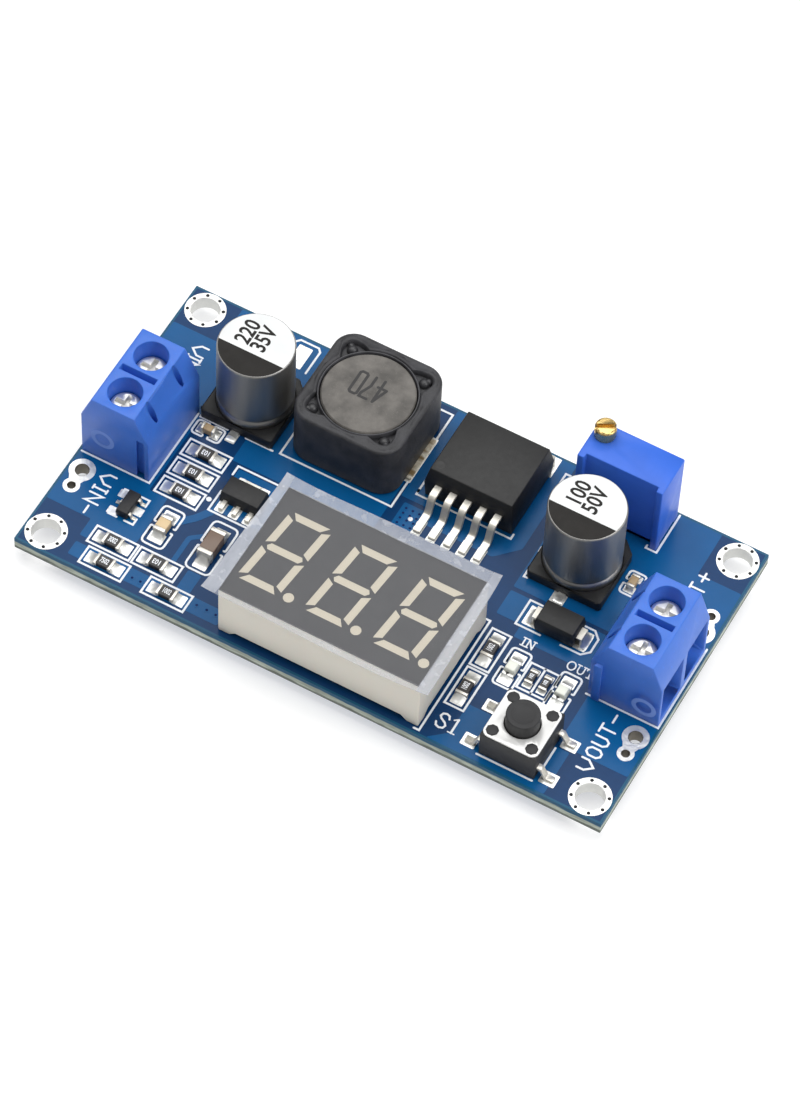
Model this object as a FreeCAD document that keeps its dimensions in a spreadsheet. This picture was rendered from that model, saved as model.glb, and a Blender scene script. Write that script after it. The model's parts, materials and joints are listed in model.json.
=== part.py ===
"""Boost converter board with a three digit voltmeter, two screw terminals and their small parts.

Millimetres, +Z up. The origin is the middle of the four mounting holes on the board's underside,
+X runs along the board from the input terminal to the output terminal.
"""
import FreeCAD, Part
import os
import re
import Sketcher
from FreeCAD import Placement, Rotation, Vector

SIZES = {
    # board and its holes
    "board_depth": 36.0,
    "board_thickness": 1.6,
    "mount_hole_inset_x": 2.35,
    "mount_hole_inset_y": 2.25,
    "mount_hole_radius": 1.55,
    "wire_hole_inset": 1.65,
    "wire_hole_front_y": -7.6,
    "wire_hole_back_y": 6.45,
    "wire_hole_step": 2.12,
    "wire_hole_radius": 0.75,
    "small_hole_radius": 0.45,
    "pin_end": 1.5,
    "hole_clearance": 0.14,
    # screw terminals
    "terminal_x": 28.77,
    "terminal_inset": 4.23,
    "terminal_y": -0.38,
    "terminal_length": 10.12,
    "terminal_depth": 7.8,
    "terminal_height": 9.55,
    "terminal_pitch": 5.08,
    "entry_slope": 1.24,
    "entry_slope_foot": 6.2,
    "back_slope": 1.63,
    "back_slope_foot": 6.05,
    "well_radius": 1.77,
    "well_x": 0.2,
    "cavity_floor": 0.7,
    "cavity_top": 5.5,
    "seat_wall": 0.5,
    "cavity_width": 3.9,
    "cavity_back": -2.2,
    "funnel_width": 4.25,
    "funnel_depth": 1.1,
    "funnel_rise": 0.37,
    "funnel_drop": 0.28,
    "divider_length": 4.05,
    "divider_width": 0.72,
    "divider_depth": 3.0,
    "vent_width": 0.45,
    "vent_start": -2.5,
    "vent_end": -3.35,
    "vent_floor": 6.9,
    "dovetail_x": -2.93,
    "dovetail_neck": 0.8,
    "dovetail_spread": 1.1,
    "dovetail_depth": 0.5,
    "dovetail_height": 6.1,
    "dovetail_clearance": 0.08,
    # terminal screws, clamps and contacts
    "head_radius": 1.6,
    "head_height": 1.5,
    "head_edge": 0.3,
    "cross_length": 2.3,
    "cross_width": 0.55,
    "cross_depth": 0.7,
    "shank_radius": 1.25,
    "shank_end": 3.25,
    "thread_clearance": 0.05,
    "neck_clearance": 0.15,
    "clamp_length": 3.0,
    "clamp_height": 3.3,
    "clamp_side": 0.5,
    "clamp_floor": 0.5,
    "clamp_roof": 0.8,
    "clamp_clearance": 0.1,
    "clamp_lift": 0.02,
    "contact_width": 2.2,
    "contact_sheet": 0.45,
    "contact_top": 3.12,
    "contact_front": 1.55,
    "contact_pin_width": 1.0,
    # electrolytic capacitors
    "can_radius": 4.0,
    "can_top": 10.25,
    "can_rim": 0.55,
    "can_shoulder": 0.16,
    "can_bulge": 1.25,
    "can_groove": 0.45,
    "can_groove_depth": 0.28,
    "can_base_side": 8.3,
    "can_base_height": 1.3,
    "can_base_cut": 1.35,
    "can_base_round": 0.4,
    "can_seat": 0.6,
    "can_fit": 0.03,
    "can_lead_width": 0.8,
    "can_lead_sheet": 0.25,
    "can_lead_inner": 1.6,
    "can_lead_reach": 0.75,
    "input_can_x": -20.35,
    "input_can_y": 8.15,
    "output_can_x": 17.35,
    "output_can_y": 7.6,
    # shielded inductor
    "inductor_x": -8.8,
    "inductor_y": 10.55,
    "shield_side": 12.1,
    "shield_round": 2.3,
    "shield_top": 7.3,
    "shield_bore": 5.15,
    "shield_pocket_radius": 1.15,
    "shield_pocket_place": 4.15,
    "shield_pocket_depth": 0.7,
    "drum_radius": 4.7,
    "drum_core": 2.4,
    "drum_flange": 1.2,
    "drum_sunk": 0.1,
    "coil_radius": 4.45,
    "coil_plate": 0.3,
    "coil_plate_width": 5.4,
    "coil_plate_inner": 3.2,
    "coil_plate_reach": 0.5,
    # converter chip in its five lead power package
    "chip_x": 4.69,
    "chip_y": 11.45,
    "chip_width": 10.1,
    "chip_depth": 8.85,
    "chip_height": 4.45,
    "chip_parting": 2.3,
    "chip_draft": 11.0,
    "tab_width": 9.3,
    "tab_sheet": 1.27,
    "tab_reach": 1.9,
    "tab_inner": 6.2,
    "chip_lead_pitch": 1.7,
    "chip_lead_width": 0.8,
    "chip_lead_sheet": 0.5,
    "chip_lead_buried": 0.8,
    "chip_lead_straight": 0.9,
    "chip_lead_slant": 1.15,
    "chip_lead_foot": 2.45,
    # multi turn trimmer
    "trimmer_x": 18.22,
    "trimmer_y": 15.1,
    "trimmer_length": 9.53,
    "trimmer_depth": 4.83,
    "trimmer_height": 10.03,
    "trimmer_foot": 0.4,
    "trimmer_foot_side": 0.9,
    "trimmer_recess": 0.62,
    "trimmer_post": 0.75,
    "trimmer_screw_inset": 1.27,
    "trimmer_screw_radius": 1.12,
    "trimmer_screw_rise": 1.45,
    "trimmer_screw_edge": 0.15,
    "trimmer_slot_width": 0.5,
    "trimmer_slot_depth": 0.65,
    "trimmer_shaft_radius": 0.8,
    "trimmer_shaft_length": 3.0,
    "trimmer_shaft_clearance": 0.05,
    "trimmer_pin_pitch": 2.54,
    "trimmer_pin_count": 3,
    "trimmer_pin_radius": 0.25,
    # three digit display
    "display_x": 1.14,
    "display_y": -10.17,
    "display_length": 22.5,
    "display_depth": 14.0,
    "display_height": 7.24,
    "display_face": 0.15,
    "display_margin": 0.06,
    "display_arch": 0.6,
    "display_post": 1.3,
    "display_arch_slope": 0.7,
    "digit_count": 3,
    "digit_pitch": 7.5,
    "digit_height": 9.36,
    "digit_width": 4.78,
    "digit_slant": 0.103,
    "digit_offset_x": -0.17,
    "digit_offset_y": -0.13,
    "segment_width": 0.8,
    "segment_gap": 0.12,
    "dot_radius": 0.54,
    "dot_x": 2.87,
    "dot_drop": 0.16,
    "display_pin_pitch": 2.54,
    "display_pin_columns": 6,
    "display_pin_row": 5.08,
    "display_pin_width": 0.5,
    "display_pin_sheet": 0.25,
    "film_length": 24.7,
    "film_depth": 15.9,
    "film_sheet": 0.1,
    "film_shift_x": -0.08,
    "film_shift_y": 0.12,
    # push switch
    "switch_x": 21.94,
    "switch_y": -13.75,
    "switch_side": 6.1,
    "switch_height": 3.5,
    "switch_plate": 0.2,
    "switch_plate_side": 6.0,
    "switch_plate_round": 0.7,
    "switch_rivet_place": 2.16,
    "switch_rivet_radius": 0.6,
    "switch_rivet_rise": 0.08,
    "plunger_radius": 1.72,
    "plunger_rise": 1.7,
    "plunger_edge": 0.25,
    "plunger_clearance": 0.12,
    "plunger_flange": 2.05,
    "plunger_flange_height": 0.5,
    "plunger_travel": 0.25,
    "switch_lead_place": 2.25,
    "switch_lead_width": 0.7,
    "switch_lead_sheet": 0.3,
    "switch_lead_height": 1.3,
    "switch_lead_out": 0.45,
    "switch_lead_slant": 0.55,
    "switch_lead_foot": 0.8,
    "switch_lead_buried": 0.5,
    # rectifier diode
    "diode_x": 19.05,
    "diode_y": -0.35,
    "diode_length": 4.4,
    "diode_depth": 2.8,
    "diode_height": 2.25,
    "diode_parting": 1.1,
    "diode_lift": 0.1,
    "diode_draft": 7.0,
    "diode_lead_width": 1.45,
    "diode_lead_sheet": 0.25,
    "diode_lead_reach": 0.6,
    "diode_lead_inner": 1.2,
    "diode_lead_buried": 0.5,
    # regulator
    "regulator_x": -15.45,
    "regulator_y": -2.6,
    "regulator_width": 4.5,
    "regulator_depth": 2.5,
    "regulator_height": 1.5,
    "regulator_draft": 6.0,
    "regulator_pitch": 1.5,
    "regulator_sheet": 0.4,
    "regulator_lead_width": 0.48,
    "regulator_lead_reach": 1.05,
    "regulator_tab_width": 1.7,
    "regulator_tab_reach": 0.75,
    "regulator_buried": 0.8,
    # small transistor
    "transistor_x": -25.05,
    "transistor_y": -9.15,
    "transistor_width": 1.35,
    "transistor_length": 2.9,
    "transistor_height": 1.05,
    "transistor_parting": 0.55,
    "transistor_lift": 0.05,
    "transistor_draft": 7.0,
    "transistor_lead_width": 0.42,
    "transistor_lead_sheet": 0.13,
    "transistor_lead_pitch": 0.95,
    "transistor_lead_out": 0.2,
    "transistor_lead_slant": 0.12,
    "transistor_lead_foot": 0.4,
    "transistor_buried": 0.3,
    # chip resistors
    "resistor_length": 2.0,
    "resistor_depth": 1.25,
    "resistor_height": 0.5,
    "resistor_end": 0.38,
    "plating": 0.03,
    "stack_x": -21.48,
    "stack_y": 0.13,
    "stack_step": 2.6,
    "front_row_y": -13.63,
    "front_row_left_x": -24.2,
    "front_row_right_x": -19.12,
    "edge_row_y": -16.17,
    "edge_row_left_x": -23.65,
    "edge_row_right_x": -16.5,
    "column_x": 14.32,
    "column_back_y": -5.87,
    "column_front_y": -11.0,
    "small_resistor_length": 1.6,
    "small_resistor_depth": 0.8,
    "small_resistor_height": 0.45,
    "small_resistor_end": 0.3,
    "pair_x": 20.12,
    "pair_step": 1.55,
    "pair_y": -6.75,
    # ceramic capacitors
    "large_ceramic_length": 3.2,
    "large_ceramic_depth": 1.6,
    "large_ceramic_height": 1.45,
    "large_ceramic_end": 0.5,
    "large_ceramic_x": -15.35,
    "large_ceramic_y": -9.3,
    "medium_ceramic_length": 2.0,
    "medium_ceramic_depth": 1.25,
    "medium_ceramic_height": 0.95,
    "medium_ceramic_end": 0.45,
    "medium_ceramic_x": -20.78,
    "medium_ceramic_y": -9.55,
    "small_ceramic_length": 1.6,
    "small_ceramic_depth": 0.8,
    "small_ceramic_height": 0.8,
    "small_ceramic_end": 0.32,
    "small_ceramic_input_x": -22.75,
    "small_ceramic_input_y": 2.82,
    "small_ceramic_output_x": 22.87,
    "small_ceramic_output_y": 8.05,
    # indicator lamps
    "lamp_input_x": 17.18,
    "lamp_output_x": 22.77,
    "lamp_y": -6.8,
    "lamp_length": 2.0,
    "lamp_depth": 1.25,
    "lamp_base": 0.35,
    "lamp_lens_length": 1.3,
    "lamp_lens_height": 0.5,
    "lamp_lens_draft": 12.0,
    "lamp_end": 0.4,
    # meter chip under the board
    "meter_x": 1.2,
    "meter_y": -10.17,
    "meter_width": 4.4,
    "meter_length": 6.5,
    "meter_height": 1.05,
    "meter_lift": 0.08,
    "meter_lead_pitch": 0.65,
    "meter_lead_rows": 10,
    "meter_lead_width": 0.24,
    "meter_lead_sheet": 0.15,
    "meter_lead_reach": 1.0,
    "meter_lead_foot": 0.6,
    "meter_buried": 0.2,
}

NEARLY_UPRIGHT = 0.99
LEAST_CUT = 1e-6

doc = FreeCAD.newDocument("BoostConverterBoard")
sheet = doc.addObject("Spreadsheet::Sheet", "Sizes")
for row, (alias, number) in enumerate(SIZES.items(), 1):
    sheet.set(f"A{row}", alias)
    sheet.set(f"B{row}", str(number))
    sheet.setAlias(f"B{row}", alias)
doc.recompute()


def bound(text):
    """The expression with each size name pointed at its cell."""
    return re.sub(r"[a-z][a-z_]+", lambda word: ("Sizes." if word[0] in SIZES else "") + word[0], str(text))


def new_body(label, x="0", y="0", z="board_thickness", turn=0):
    """An empty body at a place of its own, turned about its upright axis."""
    body = doc.addObject("PartDesign::Body", label.title().replace("_", ""))
    body.Label = label
    body.AllowCompound = True
    body.Placement = Placement(Vector(0, 0, 0), Rotation(Vector(0, 0, 1), turn))
    for axis, text in zip("xyz", (x, y, z)):
        body.setExpression(f"Placement.Base.{axis}", bound(text))
    return body


class Drawing:
    """A sketch on one of the body's own origin planes, moved along the plane's normal."""

    def __init__(self, body, role, offset="0"):
        plane = next(item for item in body.Origin.OriginFeatures if item.Role == role)
        self.sketch = body.newObject("Sketcher::SketchObject", "Sketch")
        self.sketch.AttachmentSupport = [(plane, "")]
        self.sketch.MapMode = "FlatFace"
        self.sketch.setExpression("AttachmentOffset.Base.z", bound(offset))
        self.lines = []
        self.joins = []
        self.drives = []

    def drive(self, kind, text, *where):
        """One driving constraint whose value is an expression."""
        self.drives.append((Sketcher.Constraint(kind, *where, 1.0), bound(text)))

    def finish(self):
        """The sketch with all its lines and constraints."""
        self.sketch.addGeometry(self.lines)
        self.sketch.addConstraint(self.joins + [constraint for constraint, _ in self.drives])
        for index, (_, text) in enumerate(self.drives, len(self.joins)):
            self.sketch.renameConstraint(index, f"drive{index}")
            self.sketch.setExpression(f"Constraints.drive{index}", text)
        return self.sketch


def polygon(sketch, points):
    """A closed outline through points given as pairs of expressions."""
    first = len(sketch.lines)
    count = len(points)
    for index, (across, along) in enumerate(points):
        following = first + (index + 1) % count
        sketch.lines.append(Part.LineSegment(Vector(index, 0, 0), Vector(index + 1, 1, 0)))
        sketch.joins.append(Sketcher.Constraint("Coincident", first + index, 2, following, 1))
        sketch.drive("DistanceX", across, -1, 1, first + index, 1)
        sketch.drive("DistanceY", along, -1, 1, first + index, 1)


def rectangle(sketch, width, depth, x="0", y="0"):
    """A rectangle about its middle."""
    left, right = f"({x}) - ({width}) / 2", f"({x}) + ({width}) / 2"
    low, high = f"({y}) - ({depth}) / 2", f"({y}) + ({depth}) / 2"
    polygon(sketch, [(left, low), (right, low), (right, high), (left, high)])


def circle(sketch, radius, x="0", y="0"):
    """A circle about its middle."""
    index = len(sketch.lines)
    sketch.lines.append(Part.Circle(Vector(0, 0, 0), Vector(0, 0, 1), 1.0))
    sketch.drive("Radius", radius, index)
    sketch.drive("DistanceX", x, -1, 1, index, 3)
    sketch.drive("DistanceY", y, -1, 1, index, 3)


def small_round(sketch, radius, x, y, sides=8):
    """A small round outline with few sides, whose flats lie at the radius."""
    corner = radius_of_corner(radius, sides)
    turns = [(place + 0.5) * 360 / sides for place in range(sides)]
    polygon(sketch, [(f"{x} + {corner} * cos({turn} deg)", f"{y} + {corner} * sin({turn} deg)")
                     for turn in turns])


def radius_of_corner(radius, sides):
    """How far a regular outline's corners lie from its middle, from how far its flats do."""
    return f"({radius}) / cos({180 / sides} deg)"


def pad(body, sketch, length, side="One side", reverse=False, draft=None):
    """Material from a sketch along its normal."""
    feature = body.newObject("PartDesign::Pad", "Pad")
    feature.Profile = sketch.finish()
    feature.SideType = side
    feature.Reversed = reverse
    feature.setExpression("Length", bound(length))
    if draft:
        feature.setExpression("TaperAngle", bound(f"-({draft})"))
    return feature


def pocket(body, sketch, length, side="One side", reverse=False):
    """A cut from a sketch against its normal."""
    feature = body.newObject("PartDesign::Pocket", "Pocket")
    feature.Profile = sketch.finish()
    feature.SideType = side
    feature.Reversed = reverse
    feature.setExpression("Length", bound(length))
    return feature


def revolve(body, outline):
    """A turned form from radius and height pairs about the upright axis."""
    sketch = Drawing(body, "XZ_Plane")
    polygon(sketch, outline)
    feature = body.newObject("PartDesign::Revolution", "Revolution")
    feature.Profile = sketch.finish()
    feature.ReferenceAxis = (sketch.sketch, ["V_Axis"])
    feature.Angle = 360
    return feature


def repeat(body, feature, spacing, count):
    """Copies of a feature in a row along X."""
    axis = next(item for item in body.Origin.OriginFeatures if item.Role == "X_Axis")
    row = body.newObject("PartDesign::LinearPattern", "LinearPattern")
    row.Originals = [feature]
    row.Direction = (axis, [""])
    row.Mode = "Spacing"
    row.setExpression("Offset", bound(spacing))
    row.setExpression("Occurrences", bound(count))
    body.Tip = row


def dress(body, kind, base, size, wanted):
    """A fillet or chamfer on the base's edges that the test picks."""
    doc.recompute()
    names = [f"Edge{number}" for number, edge in enumerate(base.Shape.Edges, 1) if wanted(edge)]
    feature = body.newObject(f"PartDesign::{kind}", kind)
    feature.Base = (base, names)
    feature.setExpression("Radius" if kind == "Fillet" else "Size", bound(size))
    body.Tip = feature
    return feature


def upright(edge):
    """Whether an edge is straight and stands up."""
    along = edge.tangentAt(edge.FirstParameter)
    return isinstance(edge.Curve, Part.Line) and abs(along.z) > NEARLY_UPRIGHT


def block(label, width, depth, height, places, x="0", y="0", z="board_thickness", draft=None, down=False):
    """Like blocks at several places, in one body."""
    body = new_body(label, x, y, z)
    sketch = Drawing(body, "XY_Plane")
    for across, along in places:
        rectangle(sketch, width, depth, across, along)
    pad(body, sketch, height, reverse=down, draft=draft)
    return body


# circuit board
BOARD_END = "(terminal_x + terminal_inset)"
MOUNT_HOLE = (f"({BOARD_END} - mount_hole_inset_x)", "(board_depth / 2 - mount_hole_inset_y)")
WIRE_HOLE_X = f"({BOARD_END} - wire_hole_inset)"
WIRE_HOLES = [("wire_hole_front_y", "wire_hole_front_y - wire_hole_step"),
              ("wire_hole_back_y", "wire_hole_back_y + wire_hole_step")]
POLES = ("terminal_pitch / 2", "-terminal_pitch / 2")
PIN_X = "cavity_back + contact_sheet / 2"
PIN_REACH = "board_thickness + pin_end"
FIRST_DISPLAY_PIN = "(1 - display_pin_columns) / 2 * display_pin_pitch"
DISPLAY_ROWS = [("display_pin_row", "display_pin_columns"), ("-display_pin_row", "display_pin_columns - 1")]


def circuit_board():
    """The bare board with its mounting, wire and pin holes."""
    body = new_body("circuit_board", z="0")
    outline = Drawing(body, "XY_Plane")
    rectangle(outline, f"2 * {BOARD_END}", "board_depth")
    pad(body, outline, "board_thickness")
    holes = Drawing(body, "XY_Plane")
    for side in ("", "-"):
        for end in ("", "-"):
            circle(holes, "mount_hole_radius", f"{side}{MOUNT_HOLE[0]}", f"{end}{MOUNT_HOLE[1]}")
        for large, small in WIRE_HOLES:
            circle(holes, "wire_hole_radius", f"{side}{WIRE_HOLE_X}", large)
            circle(holes, "small_hole_radius", f"{side}{WIRE_HOLE_X}", small)
        for pole in POLES:
            small_round(holes, "contact_pin_width / 2 + hole_clearance", f"{side}(terminal_x + {PIN_X})",
                        f"terminal_y + {pole}")
    pocket(body, holes, "board_thickness", reverse=True)
    rows = [("display_pin_width / 2", f"display_x + {FIRST_DISPLAY_PIN}", f"display_y + {y}",
             "display_pin_pitch", count) for y, count in DISPLAY_ROWS]
    trimmer_row = ("trimmer_pin_radius", "trimmer_x - trimmer_pin_pitch", "trimmer_y",
                   "trimmer_pin_pitch", "trimmer_pin_count")
    for radius, x, y, pitch, count in rows + [trimmer_row]:
        pin_hole = Drawing(body, "XY_Plane")
        small_round(pin_hole, f"{radius} + hole_clearance", x, y)
        repeat(body, pocket(body, pin_hole, "board_thickness", reverse=True), pitch, count)


# screw terminals
HEAD_SEAT = "(cavity_top + seat_wall)"


def dovetail(sketch, wall, reach, slack):
    """A dovetail outline that spreads away from its neck on the wall."""
    neck = f"(dovetail_neck / 2 - {slack})"
    spread = f"(dovetail_spread / 2 - {slack})"
    polygon(sketch, [(f"dovetail_x - {neck}", wall), (f"dovetail_x + {neck}", wall),
                     (f"dovetail_x + {spread}", reach), (f"dovetail_x - {spread}", reach)])


def terminal_housing(label, x, turn):
    """The moulded two way housing: sloped flanks, screw wells, wire funnels, clamp cavities, dovetails."""
    body = new_body(label, x, "terminal_y", turn=turn)
    profile = Drawing(body, "XZ_Plane")
    polygon(profile, [("-terminal_depth / 2", "0"), ("terminal_depth / 2", "0"),
                      ("terminal_depth / 2", "entry_slope_foot"),
                      ("terminal_depth / 2 - entry_slope", "terminal_height"),
                      ("back_slope - terminal_depth / 2", "terminal_height"),
                      ("-terminal_depth / 2", "back_slope_foot")])
    pad(body, profile, "terminal_length", side="Symmetric")
    rib = Drawing(body, "XY_Plane")
    dovetail(rib, "-terminal_length / 2", "dovetail_clearance - terminal_length / 2 - dovetail_depth",
             "dovetail_clearance")
    pad(body, rib, "dovetail_height")
    groove = Drawing(body, "XY_Plane")
    dovetail(groove, "terminal_length / 2", "terminal_length / 2 - dovetail_depth", "0")
    pocket(body, groove, "dovetail_height", reverse=True)
    for pole in POLES:
        cavity = Drawing(body, "XZ_Plane", pole)
        polygon(cavity, [("cavity_back", "cavity_floor"), ("terminal_depth / 2", "cavity_floor"),
                         ("terminal_depth / 2", "cavity_top"), ("cavity_back", "cavity_top")])
        pocket(body, cavity, "cavity_width", side="Symmetric")
        funnel = Drawing(body, "XZ_Plane", pole)
        polygon(funnel, [("terminal_depth / 2 - funnel_depth", "cavity_floor + funnel_rise"),
                         ("terminal_depth / 2", "cavity_floor"), ("terminal_depth / 2", "entry_slope_foot"),
                         ("terminal_depth / 2 - funnel_depth", "entry_slope_foot - funnel_drop")])
        pocket(body, funnel, "funnel_width", side="Symmetric")
    wells = Drawing(body, "XY_Plane", "terminal_height")
    necks = Drawing(body, "XY_Plane", HEAD_SEAT)
    for pole in POLES:
        circle(wells, "well_radius", "well_x", pole)
        small_round(necks, "shank_radius + neck_clearance", "well_x", pole)
    pocket(body, wells, f"terminal_height - {HEAD_SEAT}")
    pocket(body, necks, "seat_wall")
    divider = Drawing(body, "XY_Plane", "terminal_height")
    rectangle(divider, "divider_length", "divider_width", "well_x")
    pocket(body, divider, "divider_depth")
    vents = Drawing(body, "XY_Plane", "terminal_height")
    feet = Drawing(body, "XY_Plane")
    for pole in POLES:
        rectangle(vents, "vent_start - vent_end", "vent_width", "(vent_start + vent_end) / 2", pole)
        rectangle(feet, "contact_sheet", "contact_pin_width", PIN_X, pole)
    pocket(body, vents, "terminal_height - vent_floor")
    pocket(body, feet, "cavity_floor", reverse=True)


def terminal_screw(label, x, y):
    """A captive clamp screw with a cross recess."""
    body = new_body(label, x, y)
    top = f"{HEAD_SEAT} + head_height"
    revolve(body, [("0", "shank_end"), ("shank_radius", "shank_end"), ("shank_radius", HEAD_SEAT),
                   ("head_radius", HEAD_SEAT), ("head_radius", f"{top} - head_edge"),
                   ("head_radius - head_edge", top), ("0", top)])
    cross = Drawing(body, "XY_Plane", top)
    far, near = "cross_length / 2", "cross_width / 2"
    polygon(cross, [(far, near), (near, near), (near, far), (f"-{near}", far), (f"-{near}", near),
                    (f"-{far}", near), (f"-{far}", f"-{near}"), (f"-{near}", f"-{near}"),
                    (f"-{near}", f"-{far}"), (near, f"-{far}"), (near, f"-{near}"), (far, f"-{near}")])
    pocket(body, cross, "cross_depth")


def terminal_clamp(label, x, y):
    """A rising box clamp, threaded in its roof, that lifts the wire against the contact."""
    body = new_body(label, x, y, "board_thickness + cavity_floor + clamp_lift")
    width = "(cavity_width - 2 * clamp_clearance)"
    side = Drawing(body, "YZ_Plane")
    rectangle(side, width, "clamp_height", "0", "clamp_height / 2")
    pad(body, side, "clamp_length", side="Symmetric")
    window = Drawing(body, "YZ_Plane")
    wall = f"({width} / 2 - clamp_side)"
    polygon(window, [(f"-{wall}", "clamp_floor"), (wall, "clamp_floor"), (wall, "clamp_height - clamp_roof"),
                     (f"-{wall}", "clamp_height - clamp_roof")])
    pocket(body, window, "clamp_length", side="Symmetric")
    thread = Drawing(body, "XY_Plane", "clamp_height")
    circle(thread, "shank_radius + thread_clearance")
    pocket(body, thread, "clamp_roof")


def terminal_contacts(label, x, turn):
    """Two bent contacts: a flat tongue over the wire, a leg on the floor and a pin through the board."""
    body = new_body(label, x, "terminal_y", turn=turn)
    for offset in POLES:
        tongue = Drawing(body, "XZ_Plane", offset)
        polygon(tongue, [("cavity_back", "cavity_floor"), ("cavity_back + contact_sheet", "cavity_floor"),
                         ("cavity_back + contact_sheet", "contact_top - contact_sheet"),
                         ("contact_front", "contact_top - contact_sheet"), ("contact_front", "contact_top"),
                         ("cavity_back", "contact_top")])
        pad(body, tongue, "contact_width", side="Symmetric")
        pin = Drawing(body, "XY_Plane", "cavity_floor")
        rectangle(pin, "contact_sheet", "contact_pin_width", PIN_X, offset)
        pad(body, pin, f"cavity_floor + {PIN_REACH}", reverse=True)


def screw_terminal(name, sign, turn):
    """One screw terminal: housing, two screws, two clamps and the contacts."""
    place = f"{sign}terminal_x"
    terminal_housing(f"{name}_terminal_housing", place, turn)
    terminal_contacts(f"{name}_terminal_contacts", place, turn)
    for pole, offset in zip(("back", "front"), POLES):
        centre = f"{sign}(terminal_x + well_x)", f"terminal_y + {offset}"
        terminal_screw(f"{name}_{pole}_screw", *centre)
        terminal_clamp(f"{name}_{pole}_clamp", *centre)


# electrolytic capacitors
def electrolytic_capacitor(name, x, y):
    """A can in a moulded base with two flat leads: can, base and leads."""
    can = new_body(f"{name}_capacitor_can", x, y)
    seat = "can_base_height - can_seat"
    revolve(can, [("0", seat), ("can_radius", seat), ("can_radius", f"{seat} + can_bulge"),
                  ("can_radius - can_groove_depth", f"{seat} + can_bulge + can_groove / 2"),
                  ("can_radius", f"{seat} + can_bulge + can_groove"), ("can_radius", "can_top - can_rim"),
                  ("can_radius - can_shoulder", "can_top - can_shoulder"),
                  ("can_radius - can_rim", "can_top"), ("0", "can_top")])
    base = new_body(f"{name}_capacitor_base", x, y)
    outline = Drawing(base, "XY_Plane")
    rectangle(outline, "can_base_side", "can_base_side")
    plate = pad(base, outline, "can_base_height")
    cut = dress(base, "Chamfer", plate, "can_base_cut",
                lambda edge: upright(edge) and edge.CenterOfMass.y > 0)
    dress(base, "Fillet", cut, "can_base_round", lambda edge: upright(edge) and edge.CenterOfMass.y < 0)
    recess = Drawing(base, "XY_Plane", "can_base_height")
    circle(recess, "can_radius + can_fit")
    pocket(base, recess, "can_seat")
    reach = "can_base_side / 2 + can_lead_reach"
    channels = Drawing(base, "XY_Plane")
    leads = new_body(f"{name}_capacitor_leads", x, y)
    strips = Drawing(leads, "XY_Plane")
    for sign in ("", "-"):
        rectangle(channels, "can_lead_width", "can_base_side / 2 - can_lead_inner", "0",
                  f"{sign}(can_base_side / 2 + can_lead_inner) / 2")
        rectangle(strips, "can_lead_width", f"{reach} - can_lead_inner", "0",
                  f"{sign}({reach} + can_lead_inner) / 2")
    pocket(base, channels, "can_lead_sheet", reverse=True)
    pad(leads, strips, "can_lead_sheet")


# shielded inductor
def shielded_inductor():
    """A drum core in a square shield: shield, drum, winding and two solder plates."""
    shield = new_body("inductor_shield", "inductor_x", "inductor_y")
    outline = Drawing(shield, "XY_Plane", "coil_plate")
    rectangle(outline, "shield_side", "shield_side")
    solid = pad(shield, outline, "shield_top - coil_plate")
    dress(shield, "Fillet", solid, "shield_round", upright)
    bore = Drawing(shield, "XY_Plane", "shield_top")
    circle(bore, "shield_bore")
    pocket(shield, bore, "shield_top - coil_plate")
    corners = Drawing(shield, "XY_Plane", "shield_top")
    for across in ("", "-"):
        for along in ("", "-"):
            circle(corners, "shield_pocket_radius", f"{across}shield_pocket_place",
                   f"{along}shield_pocket_place")
    pocket(shield, corners, "shield_pocket_depth")
    top = "shield_top - drum_sunk"
    drum = new_body("inductor_drum", "inductor_x", "inductor_y")
    revolve(drum, [("0", "coil_plate"), ("drum_radius", "coil_plate"),
                   ("drum_radius", "coil_plate + drum_flange"), ("drum_core", "coil_plate + drum_flange"),
                   ("drum_core", f"{top} - drum_flange"), ("drum_radius", f"{top} - drum_flange"),
                   ("drum_radius", top), ("0", top)])
    coil = new_body("inductor_winding", "inductor_x", "inductor_y")
    revolve(coil, [("drum_core", "coil_plate + drum_flange"), ("coil_radius", "coil_plate + drum_flange"),
                   ("coil_radius", f"{top} - drum_flange"), ("drum_core", f"{top} - drum_flange")])
    reach = "shield_side / 2 + coil_plate_reach"
    block("inductor_plates", f"{reach} - coil_plate_inner", "coil_plate_width", "coil_plate",
          [(f"({reach} + coil_plate_inner) / 2", "0"), (f"-({reach} + coil_plate_inner) / 2", "0")],
          "inductor_x", "inductor_y")


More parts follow.
